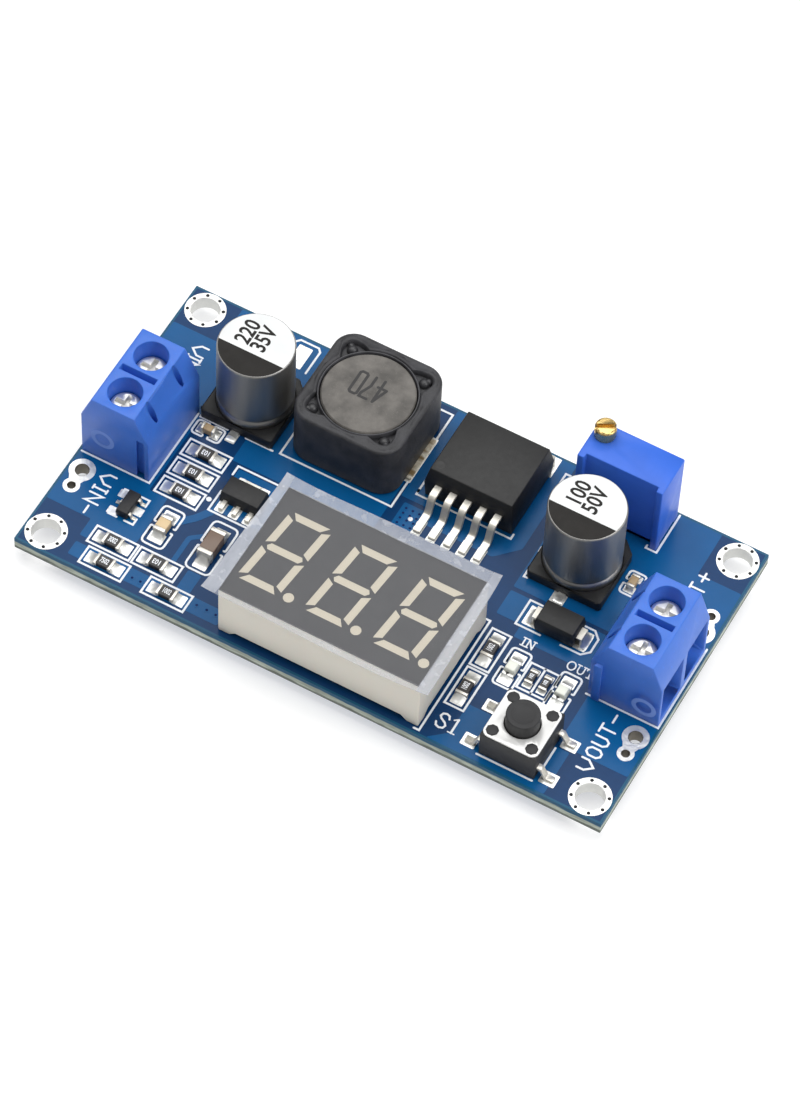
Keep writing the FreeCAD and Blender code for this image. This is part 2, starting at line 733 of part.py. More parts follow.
# converter chip
def converter_chip():
    """A power package: drafted body, heat tab at the back and five bent leads at the front."""
    body = new_body("converter_body", "chip_x", "chip_y")
    for height, down in (("chip_height - chip_parting", False), ("chip_parting", True)):
        parting = Drawing(body, "XY_Plane", "chip_parting")
        rectangle(parting, "chip_width", "chip_depth")
        pad(body, parting, height, reverse=down, draft="chip_draft" if not down else "chip_draft / 3")
    under = Drawing(body, "XY_Plane")
    rectangle(under, "tab_width", "chip_depth / 2 + tab_inner / 2", "0",
              "(chip_depth / 2 - tab_inner / 2) / 2")
    pocket(body, under, "tab_sheet", reverse=True)
    mouths = Drawing(body, "XZ_Plane", "chip_depth / 2")
    roof = "chip_parting + chip_lead_sheet / 2"
    for place in range(-2, 3):
        rectangle(mouths, "chip_lead_width", "chip_lead_sheet", f"{place} * chip_lead_pitch", "chip_parting")
    pocket(body, mouths, "chip_lead_buried")
    tab = new_body("converter_tab", "chip_x", "chip_y")
    plate = Drawing(tab, "XY_Plane")
    rectangle(plate, "tab_width", "chip_depth / 2 + tab_inner / 2 + tab_reach", "0",
              "(chip_depth / 2 - tab_inner / 2 + tab_reach) / 2")
    pad(tab, plate, "tab_sheet")
    leads = new_body("converter_leads", "chip_x", "chip_y")
    front = "chip_depth / 2"
    bend = f"{front} + chip_lead_straight"
    knee = f"{bend} + chip_lead_slant"
    floor = "chip_parting - chip_lead_sheet / 2"
    for place in range(-2, 3):
        side = Drawing(leads, "YZ_Plane", f"{place} * chip_lead_pitch")
        polygon(side, [(f"chip_lead_buried - {front}", floor), (f"chip_lead_buried - {front}", roof),
                       (f"-({bend})", roof), (f"-({knee})", "chip_lead_sheet"),
                       (f"-({knee} + chip_lead_foot)", "chip_lead_sheet"),
                       (f"-({knee} + chip_lead_foot)", "0"),
                       (f"chip_lead_sheet / 2 - ({knee})", "0"), (f"chip_lead_sheet / 2 - ({bend})", floor)])
        pad(leads, side, "chip_lead_width", side="Symmetric")


# trimmer
def trimmer():
    """A tall multi turn trimmer: recessed housing on feet, brass screw and three pins."""
    housing = new_body("trimmer_housing", "trimmer_x", "trimmer_y")
    outline = Drawing(housing, "XY_Plane")
    rectangle(outline, "trimmer_length", "trimmer_depth")
    pad(housing, outline, "trimmer_height")
    recess = Drawing(housing, "XY_Plane")
    rectangle(recess, "trimmer_length - 2 * trimmer_post", "trimmer_recess", "0",
              "(trimmer_recess - trimmer_depth) / 2")
    pocket(housing, recess, "trimmer_height", reverse=True)
    long_gap = Drawing(housing, "XZ_Plane")
    rectangle(long_gap, "trimmer_length - 2 * trimmer_foot_side", "trimmer_foot", "0", "trimmer_foot / 2")
    pocket(housing, long_gap, "trimmer_depth", side="Symmetric")
    short_gap = Drawing(housing, "YZ_Plane")
    rectangle(short_gap, "trimmer_depth - 2 * trimmer_foot_side", "trimmer_foot", "0", "trimmer_foot / 2")
    pocket(housing, short_gap, "trimmer_length", side="Symmetric")
    screw_x = "trimmer_screw_inset - trimmer_length / 2"
    screw_y = "trimmer_depth / 2 - trimmer_screw_inset"
    bore = Drawing(housing, "XY_Plane", "trimmer_height")
    circle(bore, "trimmer_shaft_radius + trimmer_shaft_clearance", screw_x, screw_y)
    pocket(housing, bore, "trimmer_shaft_length + trimmer_shaft_clearance")
    screw = new_body("trimmer_screw", f"trimmer_x + {screw_x}", f"trimmer_y + {screw_y}",
                     "board_thickness + trimmer_height")
    revolve(screw, [("0", "-trimmer_shaft_length"), ("trimmer_shaft_radius", "-trimmer_shaft_length"),
                    ("trimmer_shaft_radius", "0"), ("trimmer_screw_radius", "0"),
                    ("trimmer_screw_radius", "trimmer_screw_rise - trimmer_screw_edge"),
                    ("trimmer_screw_radius - trimmer_screw_edge", "trimmer_screw_rise"),
                    ("0", "trimmer_screw_rise")])
    slot = Drawing(screw, "XY_Plane", "trimmer_screw_rise")
    rectangle(slot, "2 * trimmer_screw_radius + trimmer_slot_width", "trimmer_slot_width")
    pocket(screw, slot, "trimmer_slot_depth")
    pins = new_body("trimmer_pins", "trimmer_x", "trimmer_y")
    pin = Drawing(pins, "XY_Plane", "trimmer_foot")
    small_round(pin, "trimmer_pin_radius", "-trimmer_pin_pitch", "0")
    repeat(pins, pad(pins, pin, f"trimmer_foot + {PIN_REACH}", reverse=True), "trimmer_pin_pitch",
           "trimmer_pin_count")


# display
def slanted(x, y):
    """A point of a digit, leaning with the digit's slant."""
    return f"({x}) + ({y}) * digit_slant", f"({y})"


def digit_outlines():
    """The seven bars of one digit about its middle, each a list of points."""
    half, tall, wide, gap = "digit_width / 2", "digit_height / 2", "segment_width", "segment_gap"
    bars = []
    for sign in ("", "-"):
        bars.append([(f"{wide} / 2 - {half}", f"{sign}({tall})"), (f"{half} - {wide} / 2", f"{sign}({tall})"),
                     (f"{half} - {wide} - 2 * {gap}", f"{sign}({tall} - {wide})"),
                     (f"{wide} + 2 * {gap} - {half}", f"{sign}({tall} - {wide})")])
        for side in ("", "-"):
            far, near = f"{side}({half})", f"{side}({half} - {wide})"
            bars.append([(far, f"{sign}({tall} - {wide} / 2 - {gap})"), (far, f"{sign}(2.5 * {gap})"),
                         (near, f"{sign}({wide} / 2 + 3 * {gap})"),
                         (near, f"{sign}({tall} - {wide} - {gap})")])
    edge, tip = f"{half} - {wide} + {gap}", f"{half} - {wide} / 2"
    bars.append([(f"-({tip})", "0"), (f"-({edge})", f"{wide} / 2"), (edge, f"{wide} / 2"), (tip, "0"),
                 (edge, f"-{wide} / 2"), (f"-({edge})", f"-{wide} / 2")])
    return [[slanted(x, y) for x, y in bar] for bar in bars]


def draw_digit(sketch):
    """The leftmost digit with its dot."""
    x = "digit_offset_x - (digit_count - 1) / 2 * digit_pitch"
    for bar in digit_outlines():
        polygon(sketch, [(f"{across} + {x}", f"{along} + digit_offset_y") for across, along in bar])
    dot_y = "digit_offset_y + dot_radius - digit_height / 2 - dot_drop"
    small_round(sketch, "dot_radius", f"{x} + dot_x", dot_y, sides=12)


def display():
    """The voltmeter display: housing on corner posts, face mask, light bars, pins and its film."""
    housing = new_body("display_housing", "display_x", "display_y")
    outline = Drawing(housing, "XY_Plane")
    rectangle(outline, "display_length", "display_depth")
    pad(housing, outline, "display_height - display_face")
    for role, span, through in (("XZ_Plane", "display_length", "display_depth"),
                                ("YZ_Plane", "display_depth", "display_length")):
        arch = Drawing(housing, role)
        foot, crown = f"({span} / 2 - display_post)", f"({span} / 2 - display_post - display_arch_slope)"
        polygon(arch, [(f"-{foot}", "0"), (foot, "0"),
                       (crown, "display_arch"), (f"-{crown}", "display_arch")])
        pocket(housing, arch, through, side="Symmetric")
    face = new_body("display_face", "display_x", "display_y")
    mask = Drawing(face, "XY_Plane", "display_height - display_face")
    rectangle(mask, "display_length - 2 * display_margin", "display_depth - 2 * display_margin")
    pad(face, mask, "display_face")
    openings = Drawing(face, "XY_Plane", "display_height")
    draw_digit(openings)
    repeat(face, pocket(face, openings, "display_face"), "digit_pitch", "digit_count")
    bars = new_body("display_segments", "display_x", "display_y")
    lights = Drawing(bars, "XY_Plane", "display_height - display_face")
    draw_digit(lights)
    repeat(bars, pad(bars, lights, "display_face"), "digit_pitch", "digit_count")
    pins = new_body("display_pins", "display_x", "display_y")
    for row_y, count in DISPLAY_ROWS:
        strip = Drawing(pins, "XY_Plane", "display_arch")
        rectangle(strip, "display_pin_width", "display_pin_sheet", FIRST_DISPLAY_PIN, row_y)
        repeat(pins, pad(pins, strip, f"display_arch + {PIN_REACH}", reverse=True), "display_pin_pitch", count)
    block("display_film", "film_length", "film_depth", "film_sheet", [("film_shift_x", "film_shift_y")],
          "display_x", "display_y", "board_thickness + display_height")


# push switch
def push_switch():
    """A square push switch: base with four rivet studs, metal cover, plunger and four leads."""
    deck = "switch_height"
    base = new_body("switch_base", "switch_x", "switch_y")
    outline = Drawing(base, "XY_Plane")
    rectangle(outline, "switch_side", "switch_side")
    pad(base, outline, deck)
    studs = Drawing(base, "XY_Plane", deck)
    rivets = [(f"{across}switch_rivet_place", f"{along}switch_rivet_place") for across in ("", "-")
              for along in ("", "-")]
    for x, y in rivets:
        small_round(studs, "switch_rivet_radius", x, y)
    pad(base, studs, "switch_plate + switch_rivet_rise")
    well = Drawing(base, "XY_Plane", deck)
    circle(well, "plunger_flange + plunger_clearance")
    pocket(base, well, "plunger_flange_height + plunger_travel * 2")
    rows = [f"{sign}switch_lead_place" for sign in ("", "-")]
    mouths = Drawing(base, "XY_Plane", "switch_lead_height - switch_lead_sheet / 2")
    for y in rows:
        for sign in ("", "-"):
            rectangle(mouths, "switch_lead_buried", "switch_lead_width",
                      f"{sign}(switch_side - switch_lead_buried) / 2", y)
    pocket(base, mouths, "switch_lead_sheet", reverse=True)
    cover = new_body("switch_cover", "switch_x", "switch_y")
    plate_outline = Drawing(cover, "XY_Plane", deck)
    rectangle(plate_outline, "switch_plate_side", "switch_plate_side")
    plate = pad(cover, plate_outline, "switch_plate")
    dress(cover, "Fillet", plate, "switch_plate_round", upright)
    openings = Drawing(cover, "XY_Plane", f"{deck} + switch_plate")
    circle(openings, "plunger_radius + plunger_clearance")
    for x, y in rivets:
        small_round(openings, "switch_rivet_radius", x, y)
    pocket(cover, openings, "switch_plate")
    plunger = new_body("switch_plunger", "switch_x", "switch_y")
    top = f"{deck} + switch_plate + plunger_rise"
    bottom = f"{deck} - plunger_flange_height"
    revolve(plunger, [("0", bottom), ("plunger_flange", bottom), ("plunger_flange", deck),
                      ("plunger_radius", deck), ("plunger_radius", f"{top} - plunger_edge"),
                      ("plunger_radius - plunger_edge", top), ("0", top)])
    leads = new_body("switch_leads", "switch_x", "switch_y")
    middle, half = "switch_lead_height", "switch_lead_sheet / 2"
    inner = "switch_side / 2 - switch_lead_buried"
    bend = "switch_side / 2 + switch_lead_out"
    knee = f"{bend} + switch_lead_slant"
    for y in rows:
        for sign in ("", "-"):
            side = Drawing(leads, "XZ_Plane", f"-({y})")
            polygon(side, [(f"{sign}({inner})", f"{middle} - {half}"),
                           (f"{sign}({inner})", f"{middle} + {half}"),
                           (f"{sign}({bend})", f"{middle} + {half}"),
                           (f"{sign}({knee})", "switch_lead_sheet"),
                           (f"{sign}({knee} + switch_lead_foot)", "switch_lead_sheet"),
                           (f"{sign}({knee} + switch_lead_foot)", "0"), (f"{sign}({knee} - {half})", "0"),
                           (f"{sign}({bend} - {half})", f"{middle} - {half}")])
            pad(leads, side, "switch_lead_width", side="Symmetric")


def moulded(label, width, depth, height, parting, lift, draft, x, y):
    """A small moulded body that tapers up and down from its parting line."""
    body = new_body(label, x, y)
    for length, down in ((f"{height} - {parting}", False), (f"{parting} - {lift}", True)):
        outline = Drawing(body, "XY_Plane", parting)
        rectangle(outline, width, depth)
        pad(body, outline, length, reverse=down, draft=draft)
    return body


# rectifier
def rectifier():
    """A moulded rectifier whose flat leads fold down its ends and under it."""
    body = moulded("rectifier_body", "diode_length", "diode_depth", "diode_height", "diode_parting",
                   "diode_lift", "diode_draft", "diode_x", "diode_y")
    half = "diode_lead_sheet / 2"
    mouths = Drawing(body, "XY_Plane", f"diode_parting - {half}")
    for sign in ("", "-"):
        rectangle(mouths, "diode_lead_buried", "diode_lead_width",
                  f"{sign}(diode_length - diode_lead_buried) / 2")
    pocket(body, mouths, "diode_lead_sheet", reverse=True)
    leads = new_body("rectifier_leads", "diode_x", "diode_y")
    out = "(diode_length / 2 + diode_lead_reach)"
    for sign in ("", "-"):
        side = Drawing(leads, "XZ_Plane")
        polygon(side, [(f"{sign}(diode_length / 2 - diode_lead_buried)", f"diode_parting - {half}"),
                       (f"{sign}(diode_length / 2 - diode_lead_buried)", f"diode_parting + {half}"),
                       (f"{sign}{out}", f"diode_parting + {half}"), (f"{sign}{out}", "0"),
                       (f"{sign}({out} - diode_lead_inner)", "0"),
                       (f"{sign}({out} - diode_lead_inner)", "diode_lift"),
                       (f"{sign}({out} - diode_lead_sheet)", "diode_lift"),
                       (f"{sign}({out} - diode_lead_sheet)", f"diode_parting - {half}")])
        pad(leads, side, "diode_lead_width", side="Symmetric")


# regulator
def regulator():
    """A flat regulator with a tab at its back and three leads at its front."""
    body = new_body("regulator_body", "regulator_x", "regulator_y")
    outline = Drawing(body, "XY_Plane")
    rectangle(outline, "regulator_width", "regulator_depth")
    pad(body, outline, "regulator_height", draft="regulator_draft")
    front = [(f"{place} * regulator_pitch", "(regulator_buried - regulator_depth) / 2")
             for place in (-1, 0, 1)]
    mouths = Drawing(body, "XY_Plane")
    for x, y in front:
        rectangle(mouths, "regulator_lead_width", "regulator_buried", x, y)
    rectangle(mouths, "regulator_tab_width", "regulator_buried", "0",
              "(regulator_depth - regulator_buried) / 2")
    pocket(body, mouths, "regulator_sheet", reverse=True)
    leads = new_body("regulator_leads", "regulator_x", "regulator_y")
    strips = Drawing(leads, "XY_Plane")
    for x, _ in front:
        rectangle(strips, "regulator_lead_width", "regulator_buried + regulator_lead_reach", x,
                  "(regulator_buried - regulator_lead_reach - regulator_depth) / 2")
    rectangle(strips, "regulator_tab_width", "regulator_buried + regulator_tab_reach", "0",
              "(regulator_depth - regulator_buried + regulator_tab_reach) / 2")
    pad(leads, strips, "regulator_sheet")


# transistor
def transistor():
    """A three lead transistor: one lead to the left and two to the right."""
    body = moulded("transistor_body", "transistor_width", "transistor_length", "transistor_height",
                   "transistor_parting", "transistor_lift", "transistor_draft", "transistor_x", "transistor_y")
    leads = new_body("transistor_leads", "transistor_x", "transistor_y")
    places = [("-", "0"), ("", "transistor_lead_pitch"), ("", "-transistor_lead_pitch")]
    half, middle = "transistor_lead_sheet / 2", "transistor_parting"
    edge = "transistor_width / 2"
    bend = f"{edge} + transistor_lead_out"
    knee = f"{bend} + transistor_lead_slant"
    mouths = Drawing(body, "XY_Plane", f"{middle} - {half}")
    for sign, y in places:
        rectangle(mouths, "transistor_buried", "transistor_lead_width",
                  f"{sign}({edge} - transistor_buried / 2)", y)
        side = Drawing(leads, "XZ_Plane", f"-({y})")
        polygon(side, [(f"{sign}({edge} - transistor_buried)", f"{middle} - {half}"),
                       (f"{sign}({edge} - transistor_buried)", f"{middle} + {half}"),
                       (f"{sign}({bend})", f"{middle} + {half}"),
                       (f"{sign}({knee})", "transistor_lead_sheet"),
                       (f"{sign}({knee} + transistor_lead_foot)", "transistor_lead_sheet"),
                       (f"{sign}({knee} + transistor_lead_foot)", "0"), (f"{sign}({knee} - {half})", "0"),
                       (f"{sign}({bend} - {half})", f"{middle} - {half}")])
        pad(leads, side, "transistor_lead_width", side="Symmetric")
    pocket(body, mouths, "transistor_lead_sheet", reverse=True)


# chip resistors and ceramic capacitors
def chips(label, size, places):
    """Like chips that lie along X or Y, as a body of ceramic blocks and a body of their plated ends."""
    length, depth, height, end = (f"{size}_{name}" for name in ("length", "depth", "height", "end"))
    cores = new_body(f"{label}_bodies")
    ends = new_body(f"{label}_ends")
    core_sketch = Drawing(cores, "XY_Plane")
    end_sketch = Drawing(ends, "XY_Plane")
    for x, y, upright_chip in places:
        inner = (f"{length} - 2 * {end}", depth)
        rectangle(core_sketch, *(inner[::-1] if upright_chip else inner), x, y)
        for sign in ("+", "-"):
            shift = f"{sign} ({length} - {end}) / 2"
            if upright_chip:
                rectangle(end_sketch, f"{depth} + 2 * plating", end, x, f"{y} {shift}")
            else:
                rectangle(end_sketch, end, f"{depth} + 2 * plating", f"{x} {shift}", y)
    pad(cores, core_sketch, height)
    pad(ends, end_sketch, f"{height} + plating")


def all_chips():
    """Every chip resistor and ceramic capacitor, grouped by size."""
    chips("resistor", "resistor", [
        ("stack_x", "stack_y", False), ("stack_x", "stack_y - stack_step", False),
        ("stack_x", "stack_y - 2 * stack_step", False), ("front_row_left_x", "front_row_y", False),
        ("front_row_right_x", "front_row_y", False), ("edge_row_left_x", "edge_row_y", False),
        ("edge_row_right_x", "edge_row_y", False), ("column_x", "column_back_y", True),
        ("column_x", "column_front_y", True)])
    chips("small_resistor", "small_resistor", [
        ("pair_x - pair_step / 2", "pair_y", True), ("pair_x + pair_step / 2", "pair_y", True)])
    chips("large_ceramic", "large_ceramic", [("large_ceramic_x", "large_ceramic_y", True)])
    chips("medium_ceramic", "medium_ceramic", [("medium_ceramic_x", "medium_ceramic_y", True)])
    chips("small_ceramic", "small_ceramic", [
        ("small_ceramic_input_x", "small_ceramic_input_y", False),
        ("small_ceramic_output_x", "small_ceramic_output_y", True)])


# indicator lamps
def lamps():
    """Two indicator lamps: carrier, clear lens and plated ends of each."""
    places = [("lamp_input_x", "lamp_y"), ("lamp_output_x", "lamp_y")]
    block("lamp_carriers", "lamp_depth", "lamp_length - 2 * lamp_end", "lamp_base", places)
    ends = [(x, f"{y} {sign} (lamp_length - lamp_end) / 2") for x, y in places for sign in ("+", "-")]
    block("lamp_ends", "lamp_depth", "lamp_end", "lamp_base", ends)
    block("lamp_lenses", "lamp_depth", "lamp_lens_length", "lamp_lens_height", places,
          z="board_thickness + lamp_base", draft="lamp_lens_draft")


# meter chip
def meter_chip():
    """The voltmeter's controller under the board: a thin body and two rows of bent leads."""
    body = new_body("meter_chip_body", "meter_x", "meter_y", "0")
    outline = Drawing(body, "XY_Plane", "-meter_lift")
    rectangle(outline, "meter_length", "meter_width")
    pad(body, outline, "meter_height - meter_lift", reverse=True)
    leads = new_body("meter_chip_leads", "meter_x", "meter_y", "0")
    middle, sheet = "meter_height / 2", "meter_lead_sheet"
    first = "(meter_lead_pitch - meter_lead_rows * meter_lead_pitch) / 2"
    out = "meter_width / 2 + meter_lead_reach"
    knee = f"{out} - meter_lead_foot"
    for sign in ("", "-"):
        mouth = Drawing(body, "XY_Plane", f"-({middle} - {sheet} / 2)")
        rectangle(mouth, "meter_lead_width", "meter_buried", first, f"{sign}(meter_width - meter_buried) / 2")
        repeat(body, pocket(body, mouth, sheet), "meter_lead_pitch", "meter_lead_rows")
        side = Drawing(leads, "YZ_Plane", first)
        polygon(side, [(f"{sign}(meter_width / 2 - meter_buried)", f"{sheet} / 2 - {middle}"),
                       (f"{sign}(meter_width / 2 - meter_buried)", f"-{sheet} / 2 - {middle}"),
                       (f"{sign}({knee})", f"-{sheet} / 2 - {middle}"), (f"{sign}({knee})", f"-{sheet}"),
                       (f"{sign}({out})", f"-{sheet}"), (f"{sign}({out})", "0"),
                       (f"{sign}({knee} - {sheet})", "0"),
                       (f"{sign}({knee} - {sheet})", f"{sheet} / 2 - {middle}")])
        lead = pad(leads, side, "meter_lead_width", side="Symmetric")
        repeat(leads, lead, "meter_lead_pitch", "meter_lead_rows")


circuit_board()
screw_terminal("input", "-", 180)
screw_terminal("output", "", 0)
electrolytic_capacitor("input", "input_can_x", "input_can_y")
electrolytic_capacitor("output", "output_can_x", "output_can_y")
shielded_inductor()
converter_chip()
trimmer()
display()
push_switch()
rectifier()
regulator()
transistor()
all_chips()
lamps()
meter_chip()
doc.recompute()

for item in doc.Objects:
    if {"Invalid", "Error"} & set(item.State):
        raise RuntimeError(f"{item.Label} failed: {item.State}")
    if item.TypeId == "PartDesign::Pocket" and item.Shape.Volume > item.BaseFeature.Shape.Volume - LEAST_CUT:
        raise RuntimeError(f"{item.Label} cuts nothing")
os.makedirs("parts", exist_ok=True)
for body in doc.findObjects("PartDesign::Body"):
    if body.Shape.isNull() or not body.Shape.isValid():
        raise RuntimeError(f"{body.Label} has no valid shape")
    body.Shape.exportStep(f"parts/{body.Label}.step")
    print(body.Label, len(body.Shape.Solids), round(body.Shape.Volume, 3))
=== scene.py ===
"""Looks of a step-up converter board with a voltmeter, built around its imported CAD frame.

Each operator dresses one part or one group of like parts: it puts finer pieces in the place of some
CAD nodes and gives the other nodes their finish. The tables and the sizes are millimetres in the frame's
own axes, with the origin in the middle of the four mounting holes at the board's underside. Meshes are
turned into metres when they are made.
"""

import json
import math
from functools import lru_cache, partial

import bmesh
import bpy
from bpy.props import FloatProperty, FloatVectorProperty, IntProperty, PointerProperty
from bpy.types import Operator, Panel, PropertyGroup
from mathutils import Matrix, Vector

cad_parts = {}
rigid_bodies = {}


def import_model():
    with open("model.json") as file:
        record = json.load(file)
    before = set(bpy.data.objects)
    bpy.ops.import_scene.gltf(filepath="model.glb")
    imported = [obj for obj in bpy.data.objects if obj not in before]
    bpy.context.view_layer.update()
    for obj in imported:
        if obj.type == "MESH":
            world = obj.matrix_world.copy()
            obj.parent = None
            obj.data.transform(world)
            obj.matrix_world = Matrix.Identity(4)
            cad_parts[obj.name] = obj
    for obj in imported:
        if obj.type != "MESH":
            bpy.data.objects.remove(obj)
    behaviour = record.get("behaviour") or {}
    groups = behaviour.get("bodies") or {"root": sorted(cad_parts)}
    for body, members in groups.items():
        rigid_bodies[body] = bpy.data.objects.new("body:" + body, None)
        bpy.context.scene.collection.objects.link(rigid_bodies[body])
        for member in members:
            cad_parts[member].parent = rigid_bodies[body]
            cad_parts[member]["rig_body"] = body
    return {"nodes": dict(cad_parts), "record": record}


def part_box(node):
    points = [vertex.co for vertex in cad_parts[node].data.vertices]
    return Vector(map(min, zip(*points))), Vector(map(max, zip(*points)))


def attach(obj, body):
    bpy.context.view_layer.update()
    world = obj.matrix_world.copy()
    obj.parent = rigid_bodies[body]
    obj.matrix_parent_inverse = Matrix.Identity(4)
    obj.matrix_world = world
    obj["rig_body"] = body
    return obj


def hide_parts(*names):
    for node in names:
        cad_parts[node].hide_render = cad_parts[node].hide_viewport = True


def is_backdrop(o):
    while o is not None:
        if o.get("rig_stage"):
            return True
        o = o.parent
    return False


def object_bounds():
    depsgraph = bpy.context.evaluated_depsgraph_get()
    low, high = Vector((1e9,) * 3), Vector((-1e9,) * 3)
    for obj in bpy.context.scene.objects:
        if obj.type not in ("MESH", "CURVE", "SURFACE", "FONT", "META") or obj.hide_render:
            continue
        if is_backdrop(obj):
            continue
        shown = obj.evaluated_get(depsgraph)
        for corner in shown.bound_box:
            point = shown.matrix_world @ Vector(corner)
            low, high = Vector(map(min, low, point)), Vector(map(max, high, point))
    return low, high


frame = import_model()
CAD_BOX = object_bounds()
SLOT_OF = {part["node"]: part["material_slot"] for part in frame["record"]["subparts"]}

bl_info = {
    "name": "Converter board looks",
    "version": (1, 0, 0),
    "blender": (4, 5, 0),
    "location": "View3D > Sidebar > Converter board",
    "description": "Dresses the CAD frame of a step-up converter board with a voltmeter",
    "category": "Object",
}

MM = 0.001
HALF_LENGTH = 33.0
HALF_DEPTH = 18.0
BOARD_TOP = 1.6
SUNK = 0.01
COPPER = 0.02
PAD = 0.03
PRINT = 0.035
MOUNT_HOLES = [(x, y) for x in (-30.65, 30.65) for y in (-15.75, 15.75)]
WIRE_HOLES = [(x, near, far) for x in (-31.35, 31.35) for near, far in ((-7.6, -9.72), (6.45, 8.57))]
WIRE_RADII = (0.75, 0.45)
TERMINAL_POLES = (2.16, -2.92)
TERMINAL_PIN_X = 26.795
CANS = {"input": (-20.35, 8.15), "output": (17.35, 7.6)}
CAN_FOOT = 4.85
LEAD_PLACES = [4.69 + 1.7 * place for place in range(-2, 3)]
TRIMMER_PIN = (18.22, 15.1)
TRIMMER_AXIS = (14.725, 16.245)
PIN_PITCH = 2.54
FIRST_DISPLAY_PIN = 1.14 - 6.35
FACE_TOP = 8.88


# Colours and settings


def from_screen(red, green, blue):
    """A colour given as it shows on a screen, 0 to 255, as the linear values that a material takes."""
    return tuple(((value / 255 + 0.055) / 1.055) ** 2.4 if value > 10 else value / 3294
                 for value in (red, green, blue))


def colour_setting(name, description, red, green, blue):
    return FloatVectorProperty(name=name, description=description, default=from_screen(red, green, blue),
                               subtype="COLOR", size=3, min=0.0, max=1.0)


def size_setting(name, description, millimetres):
    return FloatProperty(name=name, description=description, default=millimetres * MM, min=0.0,
                         subtype="DISTANCE", unit="LENGTH", precision=5)


class BoardSettings(PropertyGroup):
    laminate: colour_setting("Bare laminate", "Solder mask where no copper lies under it", 8, 54, 98)
    copper: colour_setting("Masked copper", "Solder mask over copper", 6, 83, 137)
    edge: colour_setting("Edge", "Sawn glass laminate at the board's edges", 176, 184, 172)
    silk: colour_setting("Print", "Ink of the printed lines and letters", 238, 241, 245)
    tin: colour_setting("Tin", "Tinned pads and solder", 228, 228, 224)
    line_width: size_setting("Line width", "Width of the printed lines", 0.22)
    via_radius: size_setting("Via radius", "Radius of the small plated holes", 0.2)
    dots_per_hole: IntProperty(name="Dots", description="Small vias round each mounting hole", default=8,
                               min=3, max=24)


class TerminalSettings(PropertyGroup):
    plastic: colour_setting("Housing", "Moulded housing of the screw terminals", 62, 112, 206)
    screw: colour_setting("Screw", "Plating of the clamp screws", 240, 238, 230)
    edge_round: size_setting("Edge round", "Round of the housing's edges", 0.09)


class CapacitorSettings(PropertyGroup):
    can: colour_setting("Can", "Drawn aluminium of the cans", 158, 157, 154)
    top: colour_setting("Top", "Pale lacquer on the cans' tops", 212, 214, 214)
    mark: colour_setting("Mark", "Dark segment and numbers on the tops", 33, 31, 29)


class InductorSettings(PropertyGroup):
    ferrite: colour_setting("Ferrite", "Pressed ferrite of the shield", 52, 52, 55)
    drum: colour_setting("Drum", "Ground top of the drum core", 98, 95, 91)


class ChipSettings(PropertyGroup):
    moulding: colour_setting("Moulding", "Moulding compound of the packages", 27, 27, 27)
    lead: colour_setting("Lead", "Plating of the leads", 220, 216, 206)


class TrimmerSettings(PropertyGroup):
    plastic: colour_setting("Housing", "Moulded housing of the trimmer", 56, 106, 212)
    brass: colour_setting("Screw", "Turned brass of the adjusting screw", 216, 186, 122)


class DisplaySettings(PropertyGroup):
    shell: colour_setting("Shell", "Cream housing of the display", 218, 213, 201)
    face: colour_setting("Face", "Grey face round the bars", 63, 63, 65)
    bars: colour_setting("Bars", "Milky resin of the bars", 190, 182, 164)
    film: colour_setting("Film", "Clear film over the face", 196, 199, 206)


class SwitchSettings(PropertyGroup):
    cover: colour_setting("Cover", "Bright plate over the switch", 226, 226, 224)
    plunger: colour_setting("Plunger", "Black plunger and rivets", 49, 49, 50)


class SmallPartSettings(PropertyGroup):
    resistor: colour_setting("Resistor", "Glazed top of the resistors", 40, 37, 36)
    ceramic: colour_setting("Ceramic", "Fired body of the small ceramic capacitors", 176, 150, 112)
    lamp: colour_setting("Lamp", "Milky resin of the indicator lamps", 232, 234, 222)


class StageSettings(PropertyGroup):
    floor: colour_setting("Floor", "Pale floor", 244, 244, 244)
    key_power: FloatProperty(name="Key light", description="Power of the soft box overhead", default=3.2,
                             min=0.0, subtype="POWER", unit="POWER")
    side_power: FloatProperty(name="Side lights", description="Base power of the upright soft boxes",
                              default=0.5, min=0.0, subtype="POWER", unit="POWER")
    lens: FloatProperty(name="Lens", description="Focal length of the camera", default=169.79, min=1.0,
                        subtype="DISTANCE_CAMERA", unit="CAMERA")


SETTINGS = {
    "board_looks": BoardSettings,
    "terminal_looks": TerminalSettings,
    "capacitor_looks": CapacitorSettings,
    "inductor_looks": InductorSettings,
    "chip_looks": ChipSettings,
    "trimmer_looks": TrimmerSettings,
    "display_looks": DisplaySettings,
    "switch_looks": SwitchSettings,
    "small_part_looks": SmallPartSettings,
    "stage_looks": StageSettings,
}


# Materials


class Field:
    """A node's output that can be used in sums. Each operator adds one Math node."""

    def __init__(self, finish, socket):
        self.finish = finish
        self.socket = socket

    def worked(self, operation, first, second):
        return self.finish.add("ShaderNodeMath", {"operation": operation}, {0: first, 1: second})

    def __add__(self, other):
        return self.worked("ADD", self, other)

    __radd__ = __add__

    def __sub__(self, other):
        return self.worked("SUBTRACT", self, other)

    def __rsub__(self, other):
        return self.worked("SUBTRACT", other, self)

    def __mul__(self, other):
        return self.worked("MULTIPLY", self, other)

    __rmul__ = __mul__

    def __gt__(self, other):
        return self.worked("GREATER_THAN", self, other)

    def __lt__(self, other):
        return self.worked("LESS_THAN", self, other)

    def __abs__(self):
        return self.worked("ABSOLUTE", self, 0.0)

    def or_more(self, other):
        return self.worked("MAXIMUM", self, other)


